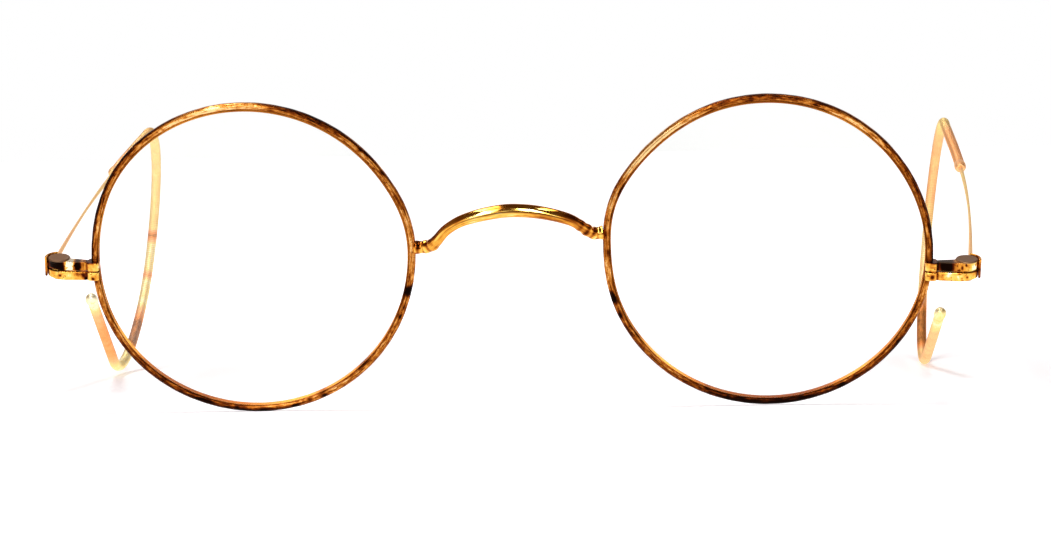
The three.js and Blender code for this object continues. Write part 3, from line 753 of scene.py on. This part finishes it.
def make_rim(name, side):
    """Grooved section carried round a circle with dents, from one side of the split to the other."""
    sizes = bpy.context.scene.spectacle_sizes
    section = corner_cut(np.concatenate([RIM_SECTION, RIM_SECTION[:0:-1] * [-1, 1]]), 3)
    split = math.asin(-SPLIT_DROP * MM / sizes.rim_radius)
    gap = SPLIT_GAP / 2 * MM / sizes.rim_radius
    angle = np.linspace(split + gap, split + 2 * math.pi - gap, 860)
    radius = sizes.rim_radius / MM + out_of_round(side["dents"], angle)
    line = np.stack([radius * np.cos(angle), np.zeros_like(angle), radius * np.sin(angle)], -1)
    ahead = unit(np.gradient(line, angle, axis=0))
    outward = np.stack([ahead[:, 2], np.zeros_like(angle), -ahead[:, 0]], -1)
    # Unevenness of hand work: 23 swellings of 2 per cent and 61 of 1.5 per cent round the rim
    worked = 1 + 0.02 * np.sin(23 * angle + side["seed"]) + 0.015 * np.sin(61 * angle)
    depth = section[:, 0] * worked[:, None]
    width = section[:, 1] * (2 - worked)[:, None]
    points = line[:, None] + width[..., None] * outward[:, None] + depth[..., None] * np.array([0, 1, 0])
    tarnish_and_sheen = rim_wear_and_light(angle[:, None], section[None, :, 1] / section[:, 1].max(), side)
    solid = shell(seat_half(capped(points), side), ends_repeated(tarnish_and_sheen))
    build_piece(
        f"{name}_rim_wire", [solid], finish_named("rolled_gold_tarnished"), "front",
        [f"{name}_eyewire"],
    )


def make_lens(name, side):
    """Flat glass turned about the front-to-back axis, its radius following the rim's dents."""
    angle = full_turn(240)
    grown = 1 + out_of_round(side["dents"], angle) / LENS_APEX
    face = np.linspace(0, 1, 5)[:-1, None] * [LENS_PROFILE[0, 0], 0]
    front, back = ([0, depth] for depth in LENS_PROFILE[[0, -1], 1])
    profile = np.concatenate([face + front, LENS_PROFILE, face[::-1] + back])
    reach = profile[:, :1] * grown
    points = np.stack(
        [reach * np.cos(angle), np.broadcast_to(profile[:, 1:], reach.shape), reach * np.sin(angle)], -1
    )
    ground = np.where(profile[:, :1] > LENS_CLEAR, 1.0, 0.0)
    # Painted reflection of the groove seen through the ground edge: as stained as the rim's inner side,
    # with its painted highlights, and a little darker
    groove = 0.22 + 0.85 * rim_wear_and_light(angle, -1.0, side)
    piece = build_piece(
        f"{name}_lens_glass", [shell(seat_half(points, side), groove, ground)], finish_named("crown_glass"),
        "front", [f"{name}_lens"],
    )
    # Clear glass lets the light through, so it shades nothing
    piece.visible_shadow = False


def make_bridge():
    """Round wire on the bridge line, full at crest and feet and thinner on its arms, with knobs."""
    sizes = bpy.context.scene.spectacle_sizes
    cols = 40
    line, run = spline(BRIDGE_LINE, 24)
    crest, arm, foot = (r / MM for r in (sizes.bridge_crest, sizes.bridge_arm, sizes.bridge_foot))
    x = line[:, 0]
    radius = np.interp(
        x, [-11.68, -10.2, -9.3, -8.3, -6.4, -2.5, 0.5, 3.5, 7.5, 8.8, 10.0, 10.9, 11.85],
        [foot, foot, foot * 0.98, arm, arm * 1.02, crest * 0.97, crest, crest * 0.97, arm * 1.1,
         arm, foot * 0.93, foot * 0.95, foot * 1.06],
    )
    reach, spread = 12, 4.0
    blur = bell(np.arange(-reach, reach + 1), spread)
    radius = np.convolve(np.pad(radius, reach, "edge"), blur / blur.sum(), "valid")
    lump_height, lump_pace, knob_step, knob_place, knob_width = 0.045, 5.3, 0.9, 0.4, 0.14
    lumps = lump_height * np.sin(lump_pace * run) * rise(np.abs(x), 8.6, 9.6)
    points = tube(line, radius + lumps, np.array([0, 1.0, 0]), cols)
    angle = full_turn(cols)
    feet = rise(np.abs(x), 8.4, 9.8)[:, None]
    arms = rise(np.abs(x), 4.5, 7.5)[:, None]
    tarnish_and_sheen = 0.24 + 0.08 * arms - 0.1 * feet + 0.1 * np.sin(1.3 * run)[:, None] * np.cos(angle) * feet
    tarnish_and_sheen = tarnish_and_sheen + 0.35 * feet * bell(run[:, None] % knob_step - knob_place, knob_width)
    # Painted reflection bands round the wire, weaker on the feet
    for at, spread, strength in BRIDGE_REFLECTION_BANDS:
        tarnish_and_sheen = tarnish_and_sheen + strength * turn_bell(angle, at, spread) * (1 - 0.7 * feet)
    # Stains, and painted dark reflections between the lamps' highlights
    for out, wide, at, spread, strength in BRIDGE_STAINS_AND_REFLECTIONS:
        tarnish_and_sheen = tarnish_and_sheen + strength * bell(x[:, None] - out, wide) * turn_bell(angle, at, spread)
    lifted = turned(capped(points), BRIDGE_TILT) + [0, 0, BRIDGE_LIFT]
    solid = shell(stand(lifted), ends_repeated(tarnish_and_sheen))
    build_piece(
        "saddle_bridge", [solid], finish_named("rolled_gold_polished"), "front", ["bridge"]
    )


def lug_outline(count):
    """Plan of a lug: block, notch, neck and boss, its front a quarter ellipse, with softened corners."""
    crown = HINGE[0] + BOSS_RADIUS - BOSS_REACH
    front_turn = np.linspace(-math.pi / 2, 0, 60, endpoint=False)
    front_arc = headings(front_turn) * [BOSS_REACH, BOSS_RADIUS]
    rear_turn = np.linspace(0, math.pi - math.asin((NECK_REAR - HINGE[1]) / BOSS_RADIUS), 70)
    rear_arc = BOSS_RADIUS * headings(rear_turn)
    boss = np.concatenate([front_arc + [crown, HINGE[1]], rear_arc + HINGE])
    cut, notch, root = 0.24, 0.08, 0.26
    front = [[BLOCK_IN, -BLOCK_HALF + cut], [BLOCK_IN + cut, -BLOCK_HALF], [BLOCK_OUT - cut, -BLOCK_HALF],
             [BLOCK_OUT, -BLOCK_HALF + cut]]
    rear = [[x, -y] for x, y in front[::-1]]
    roots = [[[BLOCK_OUT + notch, NECK_ROOT_FRONT + 0.14], [BLOCK_OUT + root, NECK_ROOT_FRONT]],
             [[BLOCK_OUT + root, NECK_ROOT_REAR], [BLOCK_OUT + notch, NECK_ROOT_REAR - 0.1]]]
    return even_outline(np.concatenate([front, roots[0], boss, roots[1], rear]), count, 1.4)


def plan_solid(outline, inner, low, high, edge):
    """Flat-topped solid over a plan: from an inner line out over the bottom, round its edge, up the
    side, round the top edge and back in. Heights are functions of the place in plan."""
    ahead = np.roll(outline, -1, 0) - np.roll(outline, 1, 0)
    inward = unit(np.stack([-ahead[:, 1], ahead[:, 0]], -1))
    bend = np.linspace(0, math.pi / 2, 6)
    rings = []
    for height, sense, order in ((low, 1, 1), (high, -1, -1)):
        lip = outline + inward * edge
        part = [(inner + (lip - inner) * s, np.zeros(len(outline))) for s in (0, 0.3, 0.6, 0.85)]
        for a in bend:
            part.append((outline + inward * edge * (1 - math.sin(a)), edge * (1 - math.cos(a))))
        made = [np.concatenate([xy, (height(xy) + sense * up)[:, None]], 1) for xy, up in part]
        rings += made[::order]
    rings = np.stack(rings)
    half = len(rings) // 2
    up = np.linspace(0, 1, 12)[1:-1, None, None]
    wall = rings[half - 1] + up * (rings[half] - rings[half - 1])
    return np.concatenate([rings[:half], wall, rings[half:]])


def make_lugs(name, side):
    """Upper and lower halves of an end piece: one plan, with the tongue's pocket under the upper."""
    edge = bpy.context.scene.spectacle_sizes.lug_edge / MM
    boss_start, boss_edge, worn_from, cap_from = 1.2, 1.42, 1.15, 1.3
    outline = lug_outline(220)
    spoke = outline - HINGE
    bearing = np.arctan2(spoke[:, 1], spoke[:, 0])
    on_boss = outline[:, 0] > HINGE[0] - boss_start
    first = bearing[on_boss].min()
    bent = 2 * math.pi * np.clip((bearing - first) / np.ptp(bearing[on_boss]), 0, 1) - math.pi

    def inner_line(radius):
        """Slit from the block along the neck, and a ring of that radius round the hinge axis."""
        ring = HINGE + radius * headings(bent)
        x = np.clip(outline[:, 0], SLIT_START, HINGE[0] - radius)
        slit = np.stack([x, HINGE[1] * (x - SLIT_START) / (HINGE[0] - radius - SLIT_START)], -1)
        return np.where(on_boss[:, None], ring, slit)

    def step(xy, block, lug):
        """Height of the block, then a short rise or fall to the height of the lug."""
        return block + (lug - block) * rise(xy[:, 0], BLOCK_OUT - 0.1, BLOCK_OUT + 0.25)

    def under(xy):
        """Underside of the lower lug: a seat for the screw's head, and a foot that rises outwards."""
        seat = 1 - rise(np.linalg.norm(xy - HINGE, axis=1), *SEAT_EDGE)
        return step(xy, BLOCK_FOOT, LUG_FOOT) + FOOT_RISE * rise(xy[:, 0], *FOOT_RUN) + SEAT_DEPTH * seat

    def pocket(xy):
        """Underside of the upper lug: a round pocket, open to the outside and the back."""
        gap = xy - HINGE
        turn = np.arctan2(gap[:, 1], gap[:, 0])
        mouth = rise(turn, *MOUTH_FRONT) * (1 - rise(turn, *MOUTH_REAR))
        disc = 1 - rise(np.linalg.norm(gap, axis=1), *POCKET_EDGE)
        return SPLIT_GAP / 2 + TONGUE_TOP * np.maximum(mouth * (xy[:, 0] > MOUTH_START), disc)

    upper = plan_solid(outline, inner_line(0.0), pocket, lambda xy: step(xy, BLOCK_TOP, LUG_TOP), edge)
    lower = plan_solid(
        outline, inner_line(HOLE_RADIUS), under, lambda xy: np.full(len(xy), -SPLIT_GAP / 2), edge
    )
    lower = np.concatenate([lower, lower[:1]])
    keep = np.ones((len(lower) - 1, len(outline)), bool)
    keep[-1] = on_boss & np.roll(on_boss, -1)
    turn = full_turn(96)
    cap = rounded(
        [[CAP_FOOT, 0.0], [CAP_FOOT, CAP_RADIUS], [1.24, CAP_RADIUS], [CAP_TOP, CAP_RADIUS - 0.1],
         [CAP_TOP, 0.0]], 60
    )
    reach, tall = cap[:, 1:], np.broadcast_to(cap[:, :1], (len(cap), len(turn)))
    top = np.stack([HINGE[0] + reach * np.cos(turn), HINGE[1] + reach * np.sin(turn), tall], -1)
    for label, grids in (("upper", [(upper, None), (top, None)]), ("lower", [(lower, keep)])):
        solids = []
        for rings, kept in grids:
            x, z = rings[..., 0], rings[..., 2]
            boss = np.linalg.norm(rings[..., :2] - HINGE, axis=-1) < boss_edge
            flat = (0.25 + 0.6 * boss) * (z > worn_from) * (x > BLOCK_OUT) + 0.15 * (z > cap_from)
            # A dark joint where the block meets the neck, then the side's marks: stains and pits, painted
            # highlights, painted dark reflections on the fronts of boss and neck, and painted shade on the
            # block's top
            lug_wear_and_light = 0.22 + 0.3 * bell(x - BLOCK_OUT - 0.1, 0.1)
            for out, spread, height, thick, strength in side["marks"][label]:
                lug_wear_and_light = lug_wear_and_light + strength * bell(x - out, spread) * bell(z - height, thick)
            solids.append(shell(seat_end(rings, side), lug_wear_and_light, flat, kept))
        build_piece(
            f"{name}_{label}_end_piece", solids, finish_named("cast_gold_pitted"), "front",
            [f"{name}_{label}_lug"],
        )


def make_screw(name, side):
    """Screw turned about the hinge axis, its slot cut between two chords across the head."""
    bevel, shoulder, point, head_rings = 0.08, 0.06, 0.12, 8
    reach = np.array([0, SLOT_HALF, SLOT_HALF, 0.4, 0.62, SCREW_HEAD - bevel, SCREW_HEAD, SCREW_HEAD,
                      SCREW_HEAD - shoulder, SCREW_RADIUS, SCREW_RADIUS, SCREW_RADIUS - point, 0])
    floor = SCREW_FOOT + SLOT_DEPTH
    height = np.array([SCREW_FOOT] * 6 + [SCREW_FOOT + bevel, SCREW_SEAT - shoulder, SCREW_SEAT, SCREW_SEAT,
                                          SCREW_TOP - point, SCREW_TOP, SCREW_TOP])
    slot_edge = np.arcsin(np.minimum(1, SLOT_HALF / np.maximum(reach, SLOT_HALF)))
    t = np.linspace(0, 1, 9)
    zones, cut = [], []
    for middle in (0, math.pi):
        zones += [middle + slot_edge[:, None] * (2 * t - 1),
                  middle + slot_edge[:, None] + (math.pi - 2 * slot_edge[:, None]) * t]
        cut += [np.ones_like(t), np.zeros_like(t)]
    angle, cut = np.concatenate(zones, 1), np.concatenate(cut)
    sunk = (np.arange(len(reach)) < head_rings)[:, None] * cut
    sunk[:2] = 1
    z = np.where(sunk > 0, np.maximum(height[:, None], floor), height[:, None])
    points = np.stack([reach[:, None] * np.cos(angle), reach[:, None] * np.sin(angle), z], -1)
    solid = shell(seat_hinge(points, side), 0.2 + 0.3 * sunk)
    build_piece(
        f"{name}_screw", [solid], finish_named("screw_brass"), "front",
        [f"{name}_hinge_screw"],
    )


def make_butt(name, side):
    """Hinge end of a temple: tongue with its eye, curved stop plate and the socket for the wire."""
    web_start, start, end = math.radians(8), math.radians(-20), math.radians(75)
    eye, web_reach, ease, tongue_edge = 1.12, 0.58, 0.1, 0.05
    angle = np.linspace(-math.pi, math.pi, 160, endpoint=False)
    web = rise(angle, web_start, web_start + ease) * (1 - rise(angle, end - ease, end))
    spoke = headings(angle)
    outline = spoke * (eye + web_reach * web)[:, None]
    tongue = plan_solid(
        outline, spoke * HOLE_RADIUS, lambda xy: np.zeros(len(xy)),
        lambda xy: np.full(len(xy), TONGUE_TOP), tongue_edge,
    )
    tongue = np.concatenate([tongue, tongue[:1]])

    middle, corner, half_thick, half_tall, lift = 1.665, 0.12, 0.155, 1.25, 0.2
    turn = full_turn(24)
    lean_in = np.where(np.cos(turn) >= 0, 1, -1) * (half_thick - corner)
    upright = np.where(np.sin(turn) >= 0, 1, -1) * (half_tall - corner)
    bend = np.linspace(0, math.pi / 2, 5)
    inset = corner * (1 - np.sin(bend))
    sweep = corner * (1 - np.cos(bend)) / middle
    ends = np.concatenate([start + sweep, np.linspace(start, end, 30)[3:-3], (end - sweep)[::-1]])
    shrink = np.concatenate([inset, np.zeros(24), inset[::-1]])
    swell = (corner - shrink)[:, None]
    radius = middle + lean_in + swell * np.cos(turn)
    z = lift + upright + swell * np.sin(turn)
    plate = capped(np.stack([radius * np.cos(ends)[:, None], radius * np.sin(ends)[:, None], z], -1))

    # Socket: distance along the temple, and radius
    profile = rounded(
        [[1.66, 0.2], [1.66, 0.64], [2.3, 0.62], [3.4, 0.55], [4.3, 0.5], [4.42, 0.44], [4.42, 0.24]], 40
    )
    socket = on_temple(profile, 0.0, side, 28)
    shells = [
        shell(seat_hinge(tongue, side), 0.15),
        # The stop plate is painted lighter towards its top: a painted highlight
        shell(seat_hinge(plate, side), 0.68 - 0.35 * rise(plate[..., 2], 0.7, 1.4)),
        shell(seat_hinge(capped(socket), side), 0.3),
    ]
    build_piece(
        f"{name}_butt", shells, finish_named("cast_gold_pitted"), f"{name}_temple",
        [f"{name}_temple_butt"],
    )


def temple_tone_and_glare(run, side):
    """Tone along a temple, between the side's stops; its pale stretches are painted glare."""
    stops = np.array(side["tint"], float)
    return np.interp(run, stops[:, 0], stops[:, 1])


def make_strand(name, label, node, first, last, radius, waist, side):
    """Round wire on the temple line: radius less a waist times the squared sine along its length."""
    run = np.linspace(first, last, max(8, round((last - first) / 0.8)))
    radii = radius - waist * np.sin(math.pi * (run - first) / (last - first)) ** 2
    points = tube(temple_line(run, side), radii, OUTWARDS, 20)
    tint = temple_tone_and_glare(ends_repeated(run), side)[:, None]
    solid = shell(seat_hinge(capped(points), side), tint)
    build_piece(
        f"{name}_{label}", [solid], finish_named("gold_filled_wire"), f"{name}_temple",
        [f"{name}_{node}"],
    )


def make_cable(name, side):
    """Winding: radius = outside - groove x half a pitch x (1 - crown), where crown is the height of a half
    circle across each turn. The turns move one pitch on for each time round, and the bore is plain."""
    sizes = bpy.context.scene.spectacle_sizes
    outer, bore, pitch = (v / MM for v in (sizes.cable_radius, sizes.cable_bore, sizes.winding_pitch))
    cols, rows_per_turn, bore_step = 22, 8, 60
    roundness, groove, groove_tint, bore_tint = 0.97, 0.62, 0.3, 0.5
    first = FERRULE_START + FERRULE_LENGTH + SEAT_GAP
    last = temple_length(side) - TIP_LENGTH - SEAT_GAP
    run = np.linspace(first, last, round((last - first) / pitch * rows_per_turn))
    angle = full_turn(cols)
    across = 2 * ((run[:, None] / pitch - angle / (2 * math.pi)) % 1) - 1
    crown = np.sqrt(1 - roundness * across**2)
    radius = outer - groove * pitch / 2 * (1 - crown)
    line = temple_line(run, side)
    wound = tube(line, radius, OUTWARDS, cols)
    inside = tube(line[::bore_step], bore, OUTWARDS, cols)
    inside = np.concatenate([inside, tube(line[-2:], bore, OUTWARDS, cols)[1:]])[::-1]
    points = np.concatenate([wound, inside, wound[:1]])
    tint = temple_tone_and_glare(run, side)[:, None] + groove_tint * (1 - crown)
    flat = np.full((len(inside), cols), bore_tint)
    solid = shell(seat_hinge(points, side), np.concatenate([tint, flat, tint[:1]]))
    build_piece(
        f"{name}_wound_cable", [solid], finish_named("gold_filled_wire"), f"{name}_temple",
        [f"{name}_cable"],
    )


def make_ends(name, side):
    """Sleeve over the joint of shank and cable, and the bead that closes the cable, both turned."""
    sizes = bpy.context.scene.spectacle_sizes
    full, bead = sizes.ferrule_radius / MM, sizes.tip_radius / MM
    sleeve = rounded(
        [[0, 0.3], [0, 0.56], [0.12, 0.63], [0.84, full], [1.8, full], [2.3, 0.76], [FERRULE_LENGTH, 0.7],
         [FERRULE_LENGTH, 0.46]], 48
    )
    tip = rounded(
        [[0, 0.41], [0, 0.68], [0.1, 0.74], [0.78, bead], [1.69, bead], [2.2, 0.66], [2.44, 0.46],
         [2.58, 0.2], [TIP_LENGTH, 0.0]], 48
    )
    for label, node, profile, start in (
        ("sleeve", "ferrule", sleeve, FERRULE_START),
        ("bead_tip", "end_tip", tip, temple_length(side) - TIP_LENGTH),
    ):
        points = capped(on_temple(profile, start, side, 32))
        solid = shell(seat_hinge(points, side), temple_tone_and_glare(start, side))
        build_piece(
            f"{name}_{label}", [solid], finish_named("gold_filled_wire"), f"{name}_temple",
            [f"{name}_{node}"],
        )


# Stage


def make_camera():
    """Camera placed so that the middle of the front falls on its pixel of the photograph."""
    s = bpy.context.scene.spectacle_stage
    level = math.cos(s.pitch)
    back = Vector((math.sin(s.yaw) * level, -math.cos(s.yaw) * level, math.sin(s.pitch)))
    ahead = -back
    right = ahead.cross(Vector((0, 0, 1))).normalized()
    up = right.cross(ahead)
    across = right * math.cos(s.roll) - up * math.sin(s.roll)
    upward = right * math.sin(s.roll) + up * math.cos(s.roll)
    data = bpy.data.cameras.new("camera")
    data.lens, data.sensor_width, data.clip_start, data.clip_end = s.focal, 36.0, 0.01, 100.0
    pixels = s.focal / data.sensor_width * FRAME_SIZE[0]
    x = (FRONT_PIXEL[0] - FRAME_SIZE[0] / 2) / pixels
    y = (FRAME_SIZE[1] / 2 - FRONT_PIXEL[1]) / pixels
    place = Vector(FRONT_ORIGIN * MM) - s.distance * (ahead + x * across + y * upward)
    camera = bpy.data.objects.new("camera", data)
    turn = Matrix((across, upward, back)).transposed().to_4x4()
    camera.matrix_world = Matrix.Translation(place) @ turn
    bpy.context.scene.collection.objects.link(camera)
    bpy.context.scene.camera = camera


def make_lamp(name, heading, along, width, tall):
    """Oblong lamp that faces the pair from a heading, its long side in a second one."""
    away = Vector(heading).normalized()
    upright = (Vector(along) - away * away.dot(Vector(along))).normalized()
    data = bpy.data.lights.new(name, "AREA")
    data.shape, data.size, data.size_y = "RECTANGLE", width, tall
    data.energy = math.pi * width * tall * bpy.context.scene.spectacle_stage.lamp_level
    lamp = bpy.data.objects.new(name, data)
    turn = Matrix((upright.cross(away), upright, away)).transposed().to_4x4()
    lamp.matrix_world = Matrix.Translation(Vector(FRONT_ORIGIN * MM) + LAMP_DISTANCE * away) @ turn
    bpy.context.scene.collection.objects.link(lamp)


def make_world():
    """White behind the pair; a dim room above and in front for the metal to reflect."""
    world = bpy.data.worlds.new("studio")
    world.use_nodes = True
    tree = world.node_tree
    tree.nodes.clear()
    heading = add(tree, "ShaderNodeSeparateXYZ", {0: add(tree, "ShaderNodeTexCoord").outputs["Generated"]})
    levels = []
    # Axis of the heading, two places along it and the level of light at each: backdrop and its fall
    # upwards, front of the room and its fall upwards, and the wall on the left
    for axis, *row in (
        ("Y", 0.45, 0.8, 0.0, 1.0), ("Z", 0.56, 0.84, 1.0, 0.0),
        ("Y", -0.99, -0.8, 0.14, 0.55), ("Z", 0.0, 0.5, 1.0, 0.15), ("X", -0.8, -0.42, 0.2, 0.09),
    ):
        limits = zip(RANGE, (heading.outputs[axis], *row))
        made = add(tree, "ShaderNodeMapRange", limits, interpolation_type="SMOOTHSTEP")
        levels.append(made.outputs[0])
    backdrop, skyline = [
        add(tree, "ShaderNodeMath", {0: one, 1: other}, operation="MULTIPLY").outputs[0]
        for one, other in (levels[:2], levels[2:4])
    ]
    path = add(tree, "ShaderNodeLightPath").outputs
    level = backdrop
    for other in (skyline, levels[4], path["Is Camera Ray"], path["Is Transmission Ray"]):
        level = add(tree, "ShaderNodeMath", {0: level, 1: other}, operation="MAXIMUM").outputs[0]
    dusk, day = (1.0, 0.5, 0.22, 1.0), (1.0, 1.0, 1.0, 1.0)
    tint = add(tree, "ShaderNodeMix", {"Factor": level, 6: dusk, 7: day}, data_type="RGBA").outputs[2]
    light = add(tree, "ShaderNodeBackground", {"Strength": level, "Color": tint})
    add(tree, "ShaderNodeOutputWorld", {"Surface": light.outputs[0]})
    bpy.context.scene.world = world


def make_table():
    """Wide white card: rings of a disc. It is white to the camera and to gloss, and keeps shadows."""
    reach, cols = np.array([0, 0.1, 0.4, 1.5, 6.0])[:, None], 64
    angle = full_turn(cols)
    points = np.stack([reach * np.cos(angle), reach * np.sin(angle), 0 * reach * angle], -1).reshape(-1, 3)
    row, col = np.meshgrid(np.arange(len(reach) - 1) * cols, np.arange(cols), indexing="ij")
    ahead = (col + 1) % cols
    faces = np.stack([row + col, row + cols + col, row + cols + ahead, row + ahead], -1)
    mesh = bpy.data.meshes.new("table")
    mesh.from_pydata(points.tolist(), [], faces.reshape(-1, 4).tolist())
    weld(mesh, 1e-6, closed=False)
    # Matt white card, overexposed: camera and gloss see its own glow, and the rest is light and shadow.
    # Gloss finds it brown in front of the bridge, where the camera stands over it
    material, tree, shader = blank_material("matt_white_card")
    path = add(tree, "ShaderNodeLightPath").outputs
    camera, passed, mirror = (path[f"Is {kind} Ray"] for kind in ("Camera", "Transmission", "Glossy"))
    clear = add(tree, "ShaderNodeMath", {0: camera, 1: passed}, operation="MAXIMUM").outputs[0]
    place = add(tree, "ShaderNodeTexCoord").outputs["Object"]
    away = add(tree, "ShaderNodeVectorMath", {0: place}, operation="LENGTH").outputs["Value"]
    axes = add(tree, "ShaderNodeSeparateXYZ", {0: place}).outputs
    aside = add(tree, "ShaderNodeMath", {0: axes["X"]}, operation="ABSOLUTE").outputs[0]
    # Glow that grows with the distance from the pair, and the two edges of the brown patch
    white, near, flank = [
        add(tree, "ShaderNodeMapRange", zip(RANGE, row)).outputs[0]
        for row in (
            (away, 0.07, 0.25, 0.34, 1.05), (axes["Y"], -0.1, -0.07, 0.0, 1.0),
            (aside, 0.012, 0.028, 0.0, 1.0),
        )
    ]
    lit = add(tree, "ShaderNodeMath", {0: near, 1: flank}, operation="MAXIMUM").outputs[0]
    dark, light = (0.16, 0.07, 0.025, 1.0), (1.25, 1.2, 1.15, 1.0)
    sheen = add(tree, "ShaderNodeMix", {"Factor": lit, 6: dark, 7: light}, data_type="RGBA").outputs[2]
    gloss = add(
        tree, "ShaderNodeMath", {0: mirror, 1: passed}, operation="SUBTRACT", use_clamp=True
    ).outputs[0]
    card = (*bpy.context.scene.spectacle_finishes.table, 1.0)
    for socket, plain, mirrored in (
        ("Base Color", card, (0.0, 0.0, 0.0, 1.0)), ("Emission Color", (0.97, 0.95, 1.0, 1.0), sheen)
    ):
        mixed = add(tree, "ShaderNodeMix", {"Factor": gloss, 6: plain, 7: mirrored}, data_type="RGBA")
        tree.links.new(mixed.outputs[2], shader.inputs[socket])
    glow = add(tree, "ShaderNodeMath", {0: clear, 1: white, 2: gloss}, operation="MULTIPLY_ADD").outputs[0]
    tree.links.new(glow, shader.inputs["Emission Strength"])
    shader.inputs["Roughness"].default_value = 0.9
    shader.inputs["Specular IOR Level"].default_value = 0.1
    mesh.materials.append(material)
    table = bpy.data.objects.new("table", mesh)
    bpy.context.scene.collection.objects.link(table)


# Operators


class SpectacleStep:
    """One step of the making: its work is done, or its error stops the script."""

    bl_options = {"REGISTER", "UNDO"}

    def execute(self, context):
        self.make(context)
        return {"FINISHED"}


class SPECTACLES_OT_stage(SpectacleStep, bpy.types.Operator):
    """Set up the table, the lamps, the world and the camera"""

    bl_idname = "spectacles.stage"
    bl_label = "Stage"

    def make(self, context):
        context.scene.view_settings.view_transform = "Standard"
        make_camera()
        make_world()
        make_table()
        for lamp in LAMPS:
            make_lamp(*lamp)


class SPECTACLES_OT_rims(SpectacleStep, bpy.types.Operator):
    """Bend the two grooved rim wires"""

    bl_idname = "spectacles.rims"
    bl_label = "Rims"

    def make(self, context):
        for name, side in SIDES.items():
            make_rim(name, side)


class SPECTACLES_OT_lenses(SpectacleStep, bpy.types.Operator):
    """Grind the two lenses"""

    bl_idname = "spectacles.lenses"
    bl_label = "Lenses"

    def make(self, context):
        for name, side in SIDES.items():
            make_lens(name, side)


class SPECTACLES_OT_bridge(SpectacleStep, bpy.types.Operator):
    """Bend the saddle bridge"""

    bl_idname = "spectacles.bridge"
    bl_label = "Bridge"

    def make(self, context):
        make_bridge()


class SPECTACLES_OT_end_pieces(SpectacleStep, bpy.types.Operator):
    """Cast the end pieces and turn their screws"""

    bl_idname = "spectacles.end_pieces"
    bl_label = "End pieces"

    def make(self, context):
        for name, side in SIDES.items():
            make_lugs(name, side)
            make_screw(name, side)


class SPECTACLES_OT_temples(SpectacleStep, bpy.types.Operator):
    """Make the temples: butt, shank, sleeve, core, winding and bead"""

    bl_idname = "spectacles.temples"
    bl_label = "Temples"

    def make(self, context):
        sizes = context.scene.spectacle_sizes
        for name, side in SIDES.items():
            make_butt(name, side)
            joint = FERRULE_START + WIRE_DEPTH
            end = temple_length(side) - TIP_LENGTH + WIRE_DEPTH
            for label, node, first, last, radius, waist in (
                ("shank", "temple_wire", SHANK_START, joint, sizes.shank_radius, sizes.shank_waist),
                ("core_wire", "cable_core", joint + SEAT_GAP, end, sizes.core_radius, 0.0),
            ):
                make_strand(name, label, node, first, last, radius / MM, waist / MM, side)
            make_cable(name, side)
            make_ends(name, side)


STEPS = (
    SPECTACLES_OT_stage,
    SPECTACLES_OT_rims,
    SPECTACLES_OT_lenses,
    SPECTACLES_OT_bridge,
    SPECTACLES_OT_end_pieces,
    SPECTACLES_OT_temples,
)


class SPECTACLES_PT_panel(bpy.types.Panel):
    """Steps of the making, in order"""

    bl_idname = "SPECTACLES_PT_panel"
    bl_label = "Round wire spectacles"
    bl_space_type = "VIEW_3D"
    bl_region_type = "UI"
    bl_category = "Spectacles"

    def draw(self, context):
        for step in STEPS:
            self.layout.operator(step.bl_idname)


GROUPS = {
    "spectacle_sizes": SpectacleSizes,
    "spectacle_finishes": SpectacleFinishes,
    "spectacle_stage": SpectacleStage,
}


def register():
    for group in (*GROUPS.values(), *STEPS, SPECTACLES_PT_panel):
        bpy.utils.register_class(group)
    for name, group in GROUPS.items():
        setattr(bpy.types.Scene, name, PointerProperty(type=group))


def unregister():
    for name in GROUPS:
        delattr(bpy.types.Scene, name)
    for group in reversed((*GROUPS.values(), *STEPS, SPECTACLES_PT_panel)):
        bpy.utils.unregister_class(group)


def main():
    register()
    bpy.ops.spectacles.stage()
    bpy.ops.spectacles.rims()
    bpy.ops.spectacles.lenses()
    bpy.ops.spectacles.bridge()
    bpy.ops.spectacles.end_pieces()
    bpy.ops.spectacles.temples()


if __name__ == "__main__":
    main()
